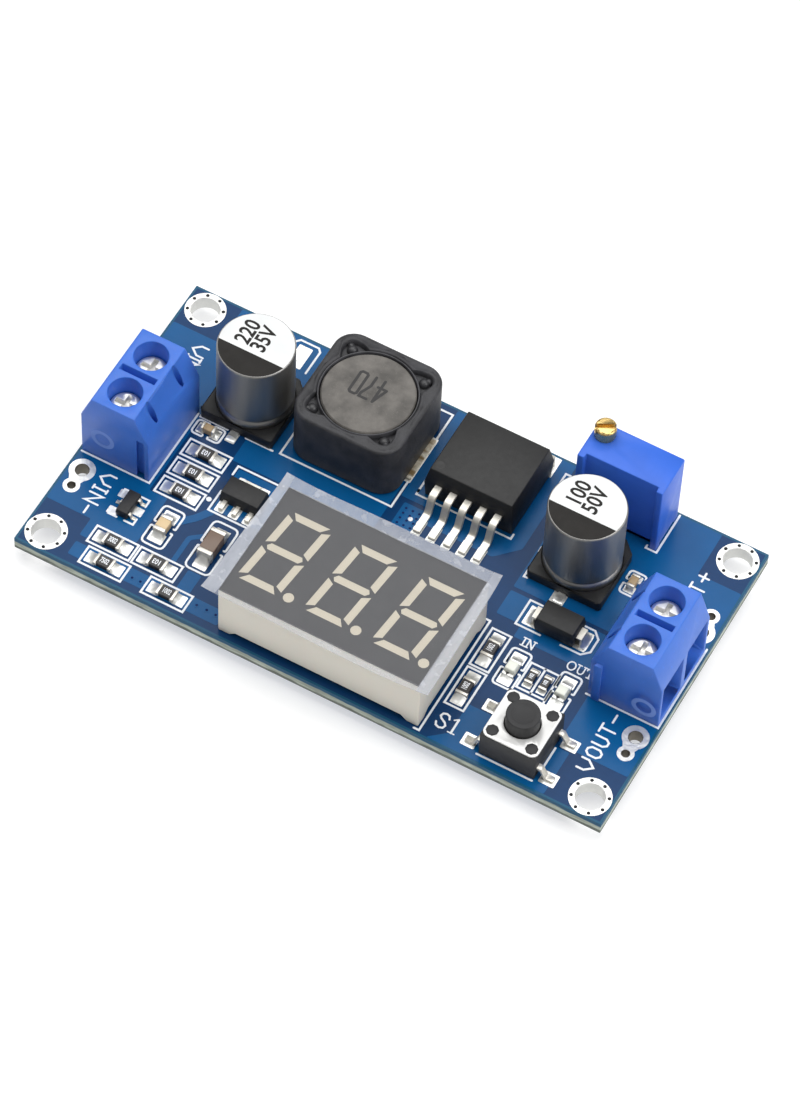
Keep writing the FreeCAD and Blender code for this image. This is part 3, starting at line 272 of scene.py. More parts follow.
class Finish:
    """A material and the nodes that feed its one shader."""

    def __init__(self, name, **constants):
        self.material = bpy.data.materials.new(name)
        self.material.use_nodes = True
        self.tree = self.material.node_tree
        self.tree.nodes.clear()
        self.shader = self.tree.nodes.new("ShaderNodeBsdfPrincipled")
        output = self.tree.nodes.new("ShaderNodeOutputMaterial")
        self.tree.links.new(self.shader.outputs["BSDF"], output.inputs["Surface"])
        for socket, value in constants.items():
            self.shader.inputs[socket.replace("_", " ").title().replace("Ior", "IOR")].default_value = value
        self.place = self.add("ShaderNodeTexCoord", output="Object")

    def add(self, kind, settings=None, sockets=None, output=0):
        """A node of that type: its settings are set first, then its sockets take their values or links."""
        node = self.tree.nodes.new(kind)
        for name, value in (settings or {}).items():
            setattr(node, name, value)
        for key, value in (sockets or {}).items():
            self.feed(node.inputs[key], value)
        return Field(self, node.outputs[output])

    def feed(self, socket, value):
        if isinstance(value, Field):
            self.tree.links.new(value.socket, socket)
        elif isinstance(value, tuple) and socket.type == "RGBA":
            socket.default_value = (*value[:3], 1.0)
        else:
            socket.default_value = value

    def show(self, **channels):
        for name, value in channels.items():
            self.feed(self.shader.inputs[name.replace("_", " ").title()], value)
        return self.material

    def axis(self, name):
        """One Object coordinate in millimetres."""
        return self.add("ShaderNodeSeparateXYZ", None, {0: self.place}, name) * 1000

    def stretched(self, x, y, z):
        return self.add("ShaderNodeMapping", None, {"Vector": self.place, "Scale": (x, y, z)})

    def noise(self, grain, detail=2.0, place=None):
        """Soft noise from 0 to 1 whose lumps are about grain millimetres wide."""
        sockets = {"Vector": place or self.place, "Scale": 1000 / grain, "Detail": detail}
        return self.add("ShaderNodeTexNoise", None, sockets)

    def steep(self, field, low, high):
        """The field spread so that low becomes 0 and high becomes 1."""
        sockets = {"Value": field, "From Min": low, "From Max": high}
        return self.add("ShaderNodeMapRange", {"clamp": True}, sockets)

    def mix(self, share, first, second):
        sockets = {0: share, 6: first, 7: second}
        return self.add("ShaderNodeMix", {"data_type": "RGBA"}, sockets, 2)

    def bump(self, height, depth):
        return self.add("ShaderNodeBump", None, {"Strength": 1.0, "Distance": depth * MM, "Height": height})


def darker(colour, share):
    return tuple(min(1.0, value * share) for value in colour[:3])


def moulded(name, colour, roughness, grain=0.12, depth=0.004, spread=0.1, **constants):
    """Moulded plastic: faint clouds in the colour, an uneven sheen and a fine grain."""
    finish = Finish(name, **constants)
    clouds = finish.noise(grain * 14, 3.0)
    sheen = finish.noise(grain * 5) * 0.16 + (roughness - 0.08)
    return finish.show(base_color=finish.mix(clouds, darker(colour, 1 - spread), darker(colour, 1 + spread)),
                       roughness=sheen, normal=finish.bump(finish.noise(grain, 4.0), depth))


def plated(name, colour, roughness, grain=0.3, depth=0.006, spread=0.12, streak=(1, 1, 1), metallic=1.0):
    """Metal with a soft sheen, faint streaks and a few dull places."""
    finish = Finish(name, metallic=metallic)
    place = finish.stretched(*streak)
    clouds = finish.noise(grain * 4, 3.0, place)
    fine = finish.noise(grain, 4.0, place)
    bright = finish.mix(clouds, darker(colour, 1 - spread), darker(colour, 1 + spread))
    dulled = finish.steep(finish.noise(grain * 7, 3.0), 0.5, 0.75) * 0.6
    tone = finish.mix(dulled, bright, darker(colour, 0.75))
    return finish.show(base_color=tone, roughness=fine * 0.2 + dulled * 0.12 + (roughness - 0.1),
                       normal=finish.bump(fine, depth))


@lru_cache(maxsize=None)
def tin():
    """Tinned pads and solder: bright and lumpy."""
    colour = bpy.context.scene.board_looks.tin
    return plated("tin", colour, 0.36, grain=0.45, depth=0.05, spread=0.1, metallic=0.8)


@lru_cache(maxsize=None)
def leadframe():
    return plated("plated leads", bpy.context.scene.chip_looks.lead, 0.34, grain=0.2, metallic=0.7)


@lru_cache(maxsize=None)
def nickel():
    colour = bpy.context.scene.terminal_looks.screw
    return plated("nickel plate", colour, 0.42, grain=0.3, depth=0.02, spread=0.14, metallic=0.8)


@lru_cache(maxsize=None)
def moulding():
    """Black moulding compound with the mottle of a matte tool."""
    colour = bpy.context.scene.chip_looks.moulding
    return moulded("moulding compound", colour, 0.55, grain=0.09, depth=0.008, spread=0.25)


@lru_cache(maxsize=None)
def print_ink():
    """White ink, a little uneven and worn through in tiny specks."""
    finish = Finish("white ink", roughness=0.55)
    colour = tuple(bpy.context.scene.board_looks.silk)
    worn = finish.steep(finish.noise(0.22, 3.0), 0.62, 0.78) * 0.5
    return finish.show(base_color=finish.mix(worn, colour, darker(colour, 0.55)),
                       normal=finish.bump(finish.noise(0.1), 0.01))


# Meshes


def linked(name, mesh, material):
    piece = bpy.data.objects.new(name, mesh)
    bpy.context.scene.collection.objects.link(piece)
    mesh.materials.clear()
    mesh.materials.append(material)
    return piece


def smoothed(mesh, angle=32.0):
    mesh.shade_smooth()
    mesh.set_sharp_from_angle(angle=math.radians(angle))


def settled(piece):
    """Works the piece's modifiers into its mesh."""
    bpy.context.view_layer.update()
    evaluated = piece.evaluated_get(bpy.context.evaluated_depsgraph_get())
    mesh = bpy.data.meshes.new_from_object(evaluated)
    piece.modifiers.clear()
    piece.data = mesh


def shaped(name, bm, material, body="board", slot=None, replaces=(), angle=32.0):
    """A piece from a mesh in millimetres, riding on its body."""
    bmesh.ops.recalc_face_normals(bm, faces=bm.faces)
    mesh = bpy.data.meshes.new(name)
    bm.to_mesh(mesh)
    bm.free()
    mesh.transform(Matrix.Scale(MM, 4))
    smoothed(mesh, angle)
    piece = linked(name, mesh, material)
    return carried(piece, body, slot, replaces)


def carried(piece, body="board", slot=None, replaces=()):
    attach(piece, body)
    if replaces:
        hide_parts(*replaces)
    return piece


def coat(node, material):
    """A CAD node that keeps its own shape gets its finish."""
    mesh = frame["nodes"][node].data
    mesh.materials.clear()
    mesh.materials.append(material)


def dressed(node, material, edge=0.05, segments=2, knife=None, faceted=False):
    """A copy of a CAD node, merged and cut by its knife, with its edges rounded by so many millimetres.

    Faces with openings in them are cut into triangles first, because the rounding would close the openings.
    """
    source = frame["nodes"][node]
    bm = bmesh.new()
    bm.from_mesh(source.data)
    bmesh.ops.remove_doubles(bm, verts=bm.verts, dist=1e-6)
    bmesh.ops.dissolve_limit(bm, angle_limit=math.radians(0.5), verts=bm.verts, edges=bm.edges)
    mesh = bpy.data.meshes.new(node + "_dressed")
    bm.to_mesh(mesh)
    bm.free()
    piece = linked(node + "_dressed", mesh, material)
    if knife:
        cut = piece.modifiers.new("cut", "BOOLEAN")
        cut.object = knife
        cut.solver = "EXACT"
        settled(piece)
    if faceted:
        facets = piece.modifiers.new("facets", "TRIANGULATE")
        facets.min_vertices = 5
        settled(piece)
    if edge:
        rounding = piece.modifiers.new("edges", "BEVEL")
        rounding.width = edge * MM
        rounding.segments = segments
        rounding.limit_method = "ANGLE"
        rounding.angle_limit = math.radians(30)
        rounding.use_clamp_overlap = False
        settled(piece)
    smoothed(piece.data, 40.0)
    return carried(piece, source["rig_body"], SLOT_OF[node], [node])


def arc(x, y, radius, start, end, steps):
    angles = [math.radians(start + (end - start) * step / steps) for step in range(steps + 1)]
    return [(x + radius * math.cos(angle), y + radius * math.sin(angle)) for angle in angles]


def round_loop(x, y, radius, sides=32):
    return arc(x, y, radius, 0, 360, sides)[:-1]


def box_loop(x0, y0, x1, y1):
    return [(x0, y0), (x1, y0), (x1, y1), (x0, y1)]


def box_line(x0, y0, x1, y1):
    return box_loop(x0, y0, x1, y1) + [(x0, y0)]


def softened(points, radius, closed=False, steps=4):
    """The points with their corners rounded."""
    count = len(points)
    out = []
    for index, point in enumerate(points):
        if not closed and index in (0, count - 1):
            out.append(point)
            continue
        here = Vector(point)
        before, after = Vector(points[index - 1]) - here, Vector(points[(index + 1) % count]) - here
        cut = min(radius, before.length * 0.49, after.length * 0.49)
        start, end = here + before.normalized() * cut, here + after.normalized() * cut
        for step in range(steps + 1):
            share = step / steps
            bent = start * (1 - share) ** 2 + here * 2 * share * (1 - share) + end * share ** 2
            out.append(tuple(bent))
    return out


def prism(bm, loop, low, high):
    """An upright solid over one outline."""
    bottom = [bm.verts.new((x, y, low)) for x, y in loop]
    top = [bm.verts.new((x, y, high)) for x, y in loop]
    bm.faces.new(bottom[::-1])
    bm.faces.new(top)
    for index in range(len(loop)):
        after = (index + 1) % len(loop)
        bm.faces.new((bottom[index], bottom[after], top[after], top[index]))


def ringed(bm, rows):
    """A closed ring through (outline, height) rows with as many points each."""
    rings = [[bm.verts.new((x, y, z)) for x, y in loop] for loop, z in rows]
    for first, second in zip(rings, rings[1:] + rings[:1]):
        for index in range(len(first)):
            after = (index + 1) % len(first)
            bm.faces.new((first[index], first[after], second[after], second[index]))


def collar(bm, outer, inner, low, high):
    """An upright solid between two outlines with as many points."""
    ringed(bm, [(outer, low), (outer, high), (inner, high), (inner, low)])


def turned(bm, profile, x=0.0, y=0.0, sides=64):
    """A solid of revolution about an upright axis from (radius, height) points, closed at its poles."""
    rings = []
    for radius, height in profile:
        if radius <= 0:
            rings.append([bm.verts.new((x, y, height))])
        else:
            rings.append([bm.verts.new((px, py, height)) for px, py in round_loop(x, y, radius, sides)])
    for first, second in zip(rings, rings[1:]):
        for index in range(sides):
            after = (index + 1) % sides
            corners = [first[index % len(first)], first[after % len(first)],
                       second[after % len(second)], second[index % len(second)]]
            kept = list(dict.fromkeys(corners))
            if len(kept) > 2:
                bm.faces.new(kept)


def outline_of(points, width, closed=False):
    """The left and right edges of a line of that width, with mitred corners."""
    count = len(points)
    left, right = [], []
    for index, point in enumerate(points):
        here = Vector(point)
        first = Vector(points[index - 1]) if closed or index else None
        last = Vector(points[(index + 1) % count]) if closed or index < count - 1 else None
        into = (here - first).normalized() if first is not None else (last - here).normalized()
        away = (last - here).normalized() if last is not None else into
        normal = Vector((-into.y - away.y, into.x + away.x)).normalized()
        reach = width / 2 / max(0.35, normal.dot(Vector((-into.y, into.x))))
        left.append(tuple(here + normal * reach))
        right.append(tuple(here - normal * reach))
    return left, right


def ribbon(bm, points, width, low, high):
    """A flat line with round ends, or a closed one where it ends where it starts."""
    if (Vector(points[0]) - Vector(points[-1])).length < 1e-6:
        collar(bm, *outline_of(points[:-1], width, True), low, high)
        return
    left, right = outline_of(points, width)
    first = math.degrees(math.atan2(left[0][1] - points[0][1], left[0][0] - points[0][0]))
    last = math.degrees(math.atan2(right[-1][1] - points[-1][1], right[-1][0] - points[-1][0]))
    start_cap = arc(*points[0], width / 2, first, first + 180, 6)[1:-1]
    end_cap = arc(*points[-1], width / 2, last, last + 180, 6)[1:-1]
    prism(bm, right + end_cap + left[::-1] + start_cap, low, high)


def cut_plate(name, loops, low, high, material, slot):
    """A flat piece with openings: each loop inside another is cut out of it."""
    curve = bpy.data.curves.new(name, "CURVE")
    curve.dimensions = "2D"
    curve.fill_mode = "BOTH"
    curve.extrude = (high - low) / 2
    for loop in loops:
        spline = curve.splines.new("POLY")
        spline.points.add(len(loop) - 1)
        for point, (x, y) in zip(spline.points, loop):
            point.co = (x, y, 0, 1)
        spline.use_cyclic_u = True
    return flat_mesh(name, curve, Matrix.Translation((0, 0, (low + high) / 2)), material, slot)


def flat_mesh(name, curve, place, material, slot):
    """The mesh of a flat curve or text, set in its place in millimetres."""
    holder = bpy.data.objects.new(name + "_curve", curve)
    bpy.context.scene.collection.objects.link(holder)
    bpy.context.view_layer.update()
    mesh = bpy.data.meshes.new_from_object(holder.evaluated_get(bpy.context.evaluated_depsgraph_get()))
    bpy.data.objects.remove(holder)
    bpy.data.curves.remove(curve)
    bm = bmesh.new()
    bm.from_mesh(mesh)
    bmesh.ops.remove_doubles(bm, verts=bm.verts, dist=1e-4)
    bmesh.ops.transform(bm, matrix=place, verts=bm.verts)
    bpy.data.meshes.remove(mesh)
    return shaped(name, bm, material, slot=slot)


def numbers(name, text, size, x, y, z, turn, material, slot, stretch=1.0, bold=0.0):
    """Printed figures, centred on a point."""
    curve = bpy.data.curves.new(name, "FONT")
    curve.body = text
    curve.size = size
    curve.align_x = "CENTER"
    curve.align_y = "CENTER"
    curve.extrude = 0.004
    curve.offset = bold
    curve.resolution_u = 3
    place = (Matrix.Translation((x, y, z)) @ Matrix.Rotation(math.radians(turn), 4, "Z")
             @ Matrix.Diagonal((stretch, 1, 1, 1)))
    return flat_mesh(name, curve, place, material, slot)


# Repeated shapes, made by Geometry Nodes


def node_group(name, inputs):
    """A new tree with a geometry going in and out, and named inputs."""
    tree = bpy.data.node_groups.new(name, "GeometryNodeTree")
    tree.interface.new_socket("Geometry", in_out="INPUT", socket_type="NodeSocketGeometry")
    tree.interface.new_socket("Geometry", in_out="OUTPUT", socket_type="NodeSocketGeometry")
    for label, kind, value in inputs:
        socket = tree.interface.new_socket(label, in_out="INPUT", socket_type=kind)
        if value is not None:
            socket.default_value = value
    return tree


def put_node(tree, kind, settings=None, sockets=None):
    node = tree.nodes.new(kind)
    for name, value in (settings or {}).items():
        setattr(node, name, value)
    for key, value in (sockets or {}).items():
        if isinstance(value, bpy.types.NodeSocket):
            tree.links.new(value, node.inputs[key])
        else:
            node.inputs[key].default_value = value
    return node


def worked_out(tree, operation, first, second=0.0):
    node = put_node(tree, "ShaderNodeMath", {"operation": operation}, {0: first, 1: second})
    return node.outputs[0]


def named(tree, name):
    return put_node(tree, "GeometryNodeInputNamedAttribute", {"data_type": "FLOAT_VECTOR"},
                    {"Name": name}).outputs[0]


def split_place(tree):
    """The sockets of each point's own X, Y and Z."""
    place = tree.nodes.new("GeometryNodeInputPosition").outputs[0]
    return put_node(tree, "ShaderNodeSeparateXYZ", None, {0: place}).outputs


def close_tree(tree, group_in, shape, moved=None):
    """Moves the shape's points if told to, sets it on each place and gives it its material."""
    if moved:
        spot = put_node(tree, "ShaderNodeCombineXYZ", None, dict(zip("XYZ", moved)))
        shape = put_node(tree, "GeometryNodeSetPosition", None,
                         {"Geometry": shape, "Position": spot.outputs[0]}).outputs[0]
    spread = put_node(tree, "GeometryNodeInstanceOnPoints", None,
                      {"Points": group_in.outputs[0], "Instance": shape,
                       "Rotation": named(tree, "turn"), "Scale": named(tree, "size")})
    real = put_node(tree, "GeometryNodeRealizeInstances", None, {"Geometry": spread.outputs[0]})
    painted = put_node(tree, "GeometryNodeSetMaterial", None,
                       {"Geometry": real.outputs[0], "Material": group_in.outputs["Material"]})
    put_node(tree, "NodeGroupOutput", None, {0: painted.outputs[0]})


def tree_of(name, label, kind, value):
    """A tree with one input of its own and a material, its input node, and its sums."""
    tree = node_group(name, [(label, kind, value), ("Material", "NodeSocketMaterial", None)])
    return tree, tree.nodes.new("NodeGroupInput"), partial(worked_out, tree)


@lru_cache(maxsize=None)
def toe_tree():
    """Solder toes: a closed block whose top falls away in a hollow curve and whose sides are drawn in."""
    tree, group_in, sums = tree_of("solder toes", "Fill", "NodeSocketFloat", 0.9)
    block = put_node(tree, "GeometryNodeMeshCube", None,
                     {"Size": (1, 1, 1), "Vertices X": 7, "Vertices Y": 6, "Vertices Z": 2})
    split = split_place(tree)
    fall = sums("POWER", sums("SUBTRACT", 0.5, split["X"]), 1.7)
    across = sums("POWER", sums("ABSOLUTE", sums("MULTIPLY", split["Y"], 2)), 4)
    crown = sums("SUBTRACT", 1.0, sums("MULTIPLY", across, 0.75))
    rise = sums("MULTIPLY", sums("MULTIPLY", fall, crown), group_in.outputs["Fill"])
    upper = sums("GREATER_THAN", split["Z"], 0.0)
    height = sums("MULTIPLY", sums("ADD", rise, 0.07), upper)
    close_tree(tree, group_in, block.outputs[0], (sums("ADD", split["X"], 0.5), split["Y"], height))
    return tree


@lru_cache(maxsize=None)
def cone_tree():
    """Solder cones round pins: wide at the pad, drawn up to the pin in a hollow curve."""
    tree, group_in, sums = tree_of("solder cones", "Tip", "NodeSocketFloat", 0.3)
    cone = put_node(tree, "GeometryNodeMeshCylinder", None,
                    {"Vertices": 20, "Side Segments": 6, "Radius": 1.0, "Depth": 1.0})
    split, tip = split_place(tree), group_in.outputs["Tip"]
    up = sums("ADD", split["Z"], 0.5)
    fall = sums("POWER", sums("SUBTRACT", 1.0, up), 2.2)
    reach = sums("ADD", sums("MULTIPLY", sums("SUBTRACT", 1.0, tip), fall), tip)
    moved = (sums("MULTIPLY", split["X"], reach), sums("MULTIPLY", split["Y"], reach), up)
    close_tree(tree, group_in, cone.outputs[0], moved)
    return tree


@lru_cache(maxsize=None)
def disc_tree():
    """Flat discs, one on each place."""
    tree, group_in, _ = tree_of("discs", "Sides", "NodeSocketInt", 16)
    disc = put_node(tree, "GeometryNodeMeshCylinder", None,
                    {"Vertices": group_in.outputs["Sides"], "Radius": 1.0, "Depth": 1.0})
    close_tree(tree, group_in, disc.outputs[0])
    return tree


@lru_cache(maxsize=None)
def block_tree():
    """Low blocks that stand on their places and are drawn in towards the top."""
    tree, group_in, sums = tree_of("blocks", "Draw", "NodeSocketFloat", 0.94)
    block = put_node(tree, "GeometryNodeMeshCube", None, {"Size": (1, 1, 1)})
    split = split_place(tree)
    upper = sums("GREATER_THAN", split["Z"], 0.0)
    lost = sums("MULTIPLY", sums("SUBTRACT", 1.0, group_in.outputs["Draw"]), upper)
    share = sums("SUBTRACT", 1.0, lost)
    moved = (sums("MULTIPLY", split["X"], share), sums("MULTIPLY", split["Y"], share), upper)
    close_tree(tree, group_in, block.outputs[0], moved)
    return tree


def repeated(name, tree, places, material, slot, **inputs):
    """One piece with a copy of a tree's shape at each place.

    A place is its (x, y, z), its turn about Z in degrees and its (length, width, height).
    """
    mesh = bpy.data.meshes.new(name)
    mesh.from_pydata([tuple(value * MM for value in spot) for spot, _, _ in places], [], [])
    turns = mesh.attributes.new("turn", "FLOAT_VECTOR", "POINT")
    sizes = mesh.attributes.new("size", "FLOAT_VECTOR", "POINT")
    for index, (_, turn, size) in enumerate(places):
        flip = math.pi if size[2] < 0 else 0.0
        turns.data[index].vector = (flip, 0.0, math.radians(turn))
        sizes.data[index].vector = tuple(abs(value) * MM for value in size)
    piece = bpy.data.objects.new(name, mesh)
    bpy.context.scene.collection.objects.link(piece)
    maker = piece.modifiers.new("repeat", "NODES")
    maker.node_group = tree
    values = {"Material": material, **{label.title(): value for label, value in inputs.items()}}
    for item in tree.interface.items_tree:
        if item.item_type == "SOCKET" and item.in_out == "INPUT" and item.name in values:
            maker[item.identifier] = values[item.name]
    settled(piece)
    smoothed(piece.data, 40.0)
    return carried(piece, slot=slot)


# Tables of the board, in millimetres

LYING_RESISTORS = [(-21.48, 0.13), (-21.48, -2.47), (-21.48, -5.07), (-24.2, -13.63), (-19.12, -13.63),
                   (-23.65, -16.17), (-16.5, -16.17)]
UPRIGHT_RESISTORS = [(14.32, -5.87), (14.32, -11.0)]
SMALL_PAIR = [(19.345, -6.75), (20.895, -6.75)]
LAMPS = [(17.18, -6.8), (22.77, -6.8)]
CODES = ["103", "103", "103", "3002", "103", "7502", "1002"]
VIAS = [(-20.45, -16.2), (-19.5, -16.2), (-13.3, -15.8), (-12.15, -15.8), (-11.1, -15.85)]
VIAS += [(x, y) for x in (-1.0, -0.25, 0.5) for y in (2.75, 3.4, 4.05, 4.7)]
POURS = [
    [(-32.75, -12.2), (-27.6, -12.2), (-27.6, -14.4), (-26.5, -14.4), (-26.5, -12.45), (-22.2, -12.45),
     (-22.2, -6.3), (-24.3, -6.3), (-24.3, 17.75), (-27.4, 17.75), (-27.4, 12.9), (-32.75, 12.9)],
    [(-23.9, 4.3), (-23.9, 17.75), (-16.0, 17.75), (-16.0, 12.0), (-2.7, 12.0), (-2.7, 1.0), (-19.0, 1.0),
     (-19.0, 4.3)],
    [(-2.2, 17.75), (11.4, 17.75), (11.4, 6.2), (9.2, 3.9), (1.4, 3.9), (1.4, 5.8), (-2.2, 5.8)],
    [(-1.5, 5.3), (0.95, 5.3), (0.95, 2.3), (-1.5, 2.3)],
    [(12.7, 17.75), (27.9, 17.75), (27.9, 12.4), (32.75, 12.4), (32.75, 1.9), (12.7, 1.9)],
    [(12.7, 1.4), (32.75, 1.4), (32.75, -12.0), (25.1, -12.0), (25.1, -3.3), (15.5, -3.3), (15.5, -1.7),
     (12.7, -1.7)],
    [(15.4, -12.4), (26.6, -12.4), (26.6, -17.75), (13.6, -17.75), (15.4, -16.2)],
    [(-27.5, -15.2), (-16.1, -15.2), (-16.1, -12.6), (-14.6, -12.6), (-14.6, -15.1), (-10.4, -15.1),
     (-10.4, -16.9), (-27.5, -16.9)],
    [(-17.8, 0.4), (-11.5, 0.4), (-11.5, -5.1), (-17.8, -5.1)],
]
TRACES = [
    ([(-17.4, -5.1), (-18.6, -6.9), (-19.9, -8.2)], 0.85),
    ([(-16.2, -7.9), (-17.95, -9.3), (-17.95, -12.4)], 0.55),
]
PADS = [
    (-16.1, -12.0, -14.6, -10.5), (-16.1, -8.1, -14.6, -6.8),
    (-21.6, -11.5, -19.97, -10.25), (-21.6, -8.85, -19.97, -7.5),
    (-24.05, 2.2, -23.1, 3.45), (-22.4, 2.2, -21.45, 3.45),
    (22.25, 6.9, 23.5, 7.75), (22.25, 8.35, 23.5, 9.2),
    (16.45, -5.95, 17.9, -4.75), (16.45, -8.75, 17.9, -7.65),
    (22.05, -5.95, 23.5, -4.75), (22.05, -8.75, 23.5, -7.65),
    (15.4, -1.5, 17.3, 0.85), (20.9, -1.5, 22.4, 0.85),
    (16.75, -12.25, 18.3, -10.85), (16.75, -16.75, 18.3, -15.25), (25.4, -12.25, 27.1, -10.85),
    (25.4, -16.75, 27.1, -15.25),
    (-0.1, 15.2, 9.78, 17.7),
    (-15.45, 7.5, -14.6, 13.6), (-3.0, 7.5, -2.15, 13.6),
    (-20.9, 2.7, -19.8, 4.6), (-20.9, 11.6, -19.8, 13.6), (16.5, 2.2, 18.0, 4.0), (16.7, 11.2, 17.95, 12.9),
    (-26.75, -10.75, -25.6, -9.8), (-26.75, -8.5, -25.6, -7.55), (-24.55, -9.65, -23.4, -8.65),
    (-17.55, -5.15, -16.55, -3.7), (-16.0, -5.15, -14.95, -3.7), (-14.4, -5.15, -13.4, -3.7),
    (-17.2, -1.4, -13.7, -0.4),
    (-20.15, 14.1, -18.6, 16.9),
] + [(x - 0.56, 2.3, x + 0.44, 4.3) for x in LEAD_PLACES]
RESISTOR_PADS = [(x + side * 1.42, y, 1.3, 1.35) for x, y in LYING_RESISTORS for side in (-1, 1)]
RESISTOR_PADS += [(x, y + side * 1.42, 1.35, 1.3) for x, y in UPRIGHT_RESISTORS for side in (-1, 1)]
RESISTOR_PADS += [(x, y + side * 0.82, 0.95, 0.75) for x, y in SMALL_PAIR for side in (-1, 1)]
CLOSED_LINES = [box_line(x - 2.39, y - 1.05, x + 2.39, y + 1.05) for x, y in LYING_RESISTORS]
CLOSED_LINES += [box_line(x - 1.05, y - 2.39, x + 1.05, y + 2.39) for x, y in UPRIGHT_RESISTORS]
CLOSED_LINES += [box_line(18.5, -8.3, 21.65, -5.1)]
LINES = [
    [(20.08, -5.1), (20.08, -8.3)],
    [(-18.04, -2.8), (-18.04, -5.4), (-13.5, -5.4)],
    [(-18.04, -0.5), (-18.04, 0.65), (-13.5, 0.65)],
    [(-0.95, 7.3), (-0.95, 6.7), (9.8, 6.7), (9.8, 7.3)],
    [(-0.95, 7.0), (-0.95, 17.75), (-0.4, 17.75)],
    [(-15.2, 7.5), (-15.2, 4.1), (-2.4, 4.1), (-2.4, 7.5)],
    [(-15.2, 13.6), (-15.2, 17.0), (-2.4, 17.0), (-2.4, 13.6)],
    [(-24.4, 5.2), (-24.4, 4.0), (-21.2, 4.0)],
    [(-19.1, 4.0), (-16.0, 4.0)],
    [(-15.9, 12.6), (-15.9, 13.3)],
    [(-20.7, 13.0), (-20.7, 17.0), (-20.3, 17.4), (-18.2, 17.4), (-17.85, 17.0), (-17.85, 14.0)],
    [(13.05, 4.5), (13.05, 3.45), (13.4, 3.45)],
    [(12.95, 6.8), (12.95, 7.4)],
    [(11.5, 16.4), (10.9, 16.4), (10.9, 14.9)],
    [(16.3, 1.3), (14.95, 1.3), (14.95, -1.87), (17.7, -1.87)],
    [(20.6, 1.3), (22.2, 1.3), (22.95, 0.55), (22.95, -1.15), (22.2, -1.87), (20.0, -1.87)],
    [(23.15, 17.7), (23.15, 12.55), (21.95, 12.55), (21.95, 12.9)],
    [(12.1, -2.87), (12.67, -2.87), (12.67, -17.45), (12.1, -17.45)],
    [(18.8, -17.0), (24.9, -17.0)],
    [(25.15, -12.6), (25.15, -15.0)],
    [(-24.75, 4.2), (-24.75, -5.6), (-32.6, -5.6)],
    [(24.8, -5.57), (32.75, -5.57), (32.75, 4.9)],
    [(-26.45, -9.9), (-26.45, -10.75), (-25.5, -10.75)],
    [(-26.45, -8.4), (-26.45, -7.45), (-25.5, -7.45)],
    [(-24.6, -7.45), (-23.6, -7.45), (-23.6, -8.3)],
    [(-24.6, -10.75), (-23.6, -10.75), (-23.6, -10.0)],
]
NICKED_BOXES = [
    (-22.04, -11.95, -19.6, -7.05, 0.55, False), (-16.8, -12.35, -14.0, -6.1, 0.65, False),
    (-24.35, 1.95, -21.2, 3.7, 0.4, True), (21.95, 6.65, 23.75, 9.5, 0.4, False),
    (16.1, -9.0, 18.25, -4.35, 0.45, False), (21.7, -9.0, 23.85, -4.35, 0.45, False),
]
ROUND_MARKS = [(-18.6, -4.28, 0.28), (0.0, 3.75, 0.25)]


def nicked_box(x0, y0, x1, y1, corner, across):
    """A rounded outline in two halves with a short inward tick at each gap."""
    if across:
        middle, gap, tick = (x0 + x1) / 2, 0.3, 0.2
        left = [(middle - gap, y1 - tick), (middle - gap, y1), (x0, y1), (x0, y0), (middle - gap, y0),
                (middle - gap, y0 + tick)]
        right = [(2 * middle - x, y) for x, y in left]
        return [softened(half, corner) for half in (left, right)]
    middle, gap, tick = (y0 + y1) / 2, 0.3, 0.2
    upper = [(x0 + tick, middle + gap), (x0, middle + gap), (x0, y1), (x1, y1), (x1, middle + gap),
             (x1 - tick, middle + gap)]
    lower = [(x, 2 * middle - y) for x, y in upper]
    return [softened(half, corner) for half in (upper, lower)]


STROKES = {
    "V": (0.82, [[(0.0, 1.0), (0.0, 0.5), (0.41, 0.0), (0.82, 0.5), (0.82, 1.0)]]),
    "I": (0.28, [[(0.0, 1.0), (0.28, 1.0)], [(0.14, 1.0), (0.14, 0.0)], [(0.0, 0.0), (0.28, 0.0)]]),
    "N": (0.7, [[(0.0, 0.0), (0.0, 1.0), (0.7, 0.0), (0.7, 1.0)]]),
    "O": (0.64, [[(0.2, 0.0), (0.44, 0.0), (0.64, 0.22), (0.64, 0.78), (0.44, 1.0), (0.2, 1.0), (0.0, 0.78),
                  (0.0, 0.22), (0.2, 0.0)]]),
    "U": (0.62, [[(0.0, 1.0), (0.0, 0.24), (0.18, 0.0), (0.44, 0.0), (0.62, 0.24), (0.62, 1.0)]]),
    "T": (0.66, [[(0.0, 1.0), (0.66, 1.0)], [(0.33, 1.0), (0.33, 0.0)]]),
    "+": (0.7, [[(0.0, 0.5), (0.7, 0.5)], [(0.35, 0.85), (0.35, 0.15)]]),
    "-": (0.62, [[(0.0, 0.5), (0.62, 0.5)]]),
    "4": (0.34, [[(0.23, 0.0), (0.23, 1.0)], [(0.23, 1.0), (0.0, 0.34)], [(0.0, 0.34), (0.34, 0.34)]]),
    "7": (0.3, [[(0.0, 1.0), (0.3, 1.0), (0.3, 0.84), (0.12, 0.42), (0.12, 0.0)]]),
    "0": (0.3, [[(0.06, 0.0), (0.24, 0.0), (0.3, 0.06), (0.3, 0.94), (0.24, 1.0), (0.06, 1.0), (0.0, 0.94),
                 (0.0, 0.06), (0.06, 0.0)]]),
}


def stem(x, width):
    return [(x, 0.0), (x, 1.0)], width


def serif(left, right, height):
    return [(left, height), (right, height)], 0.07


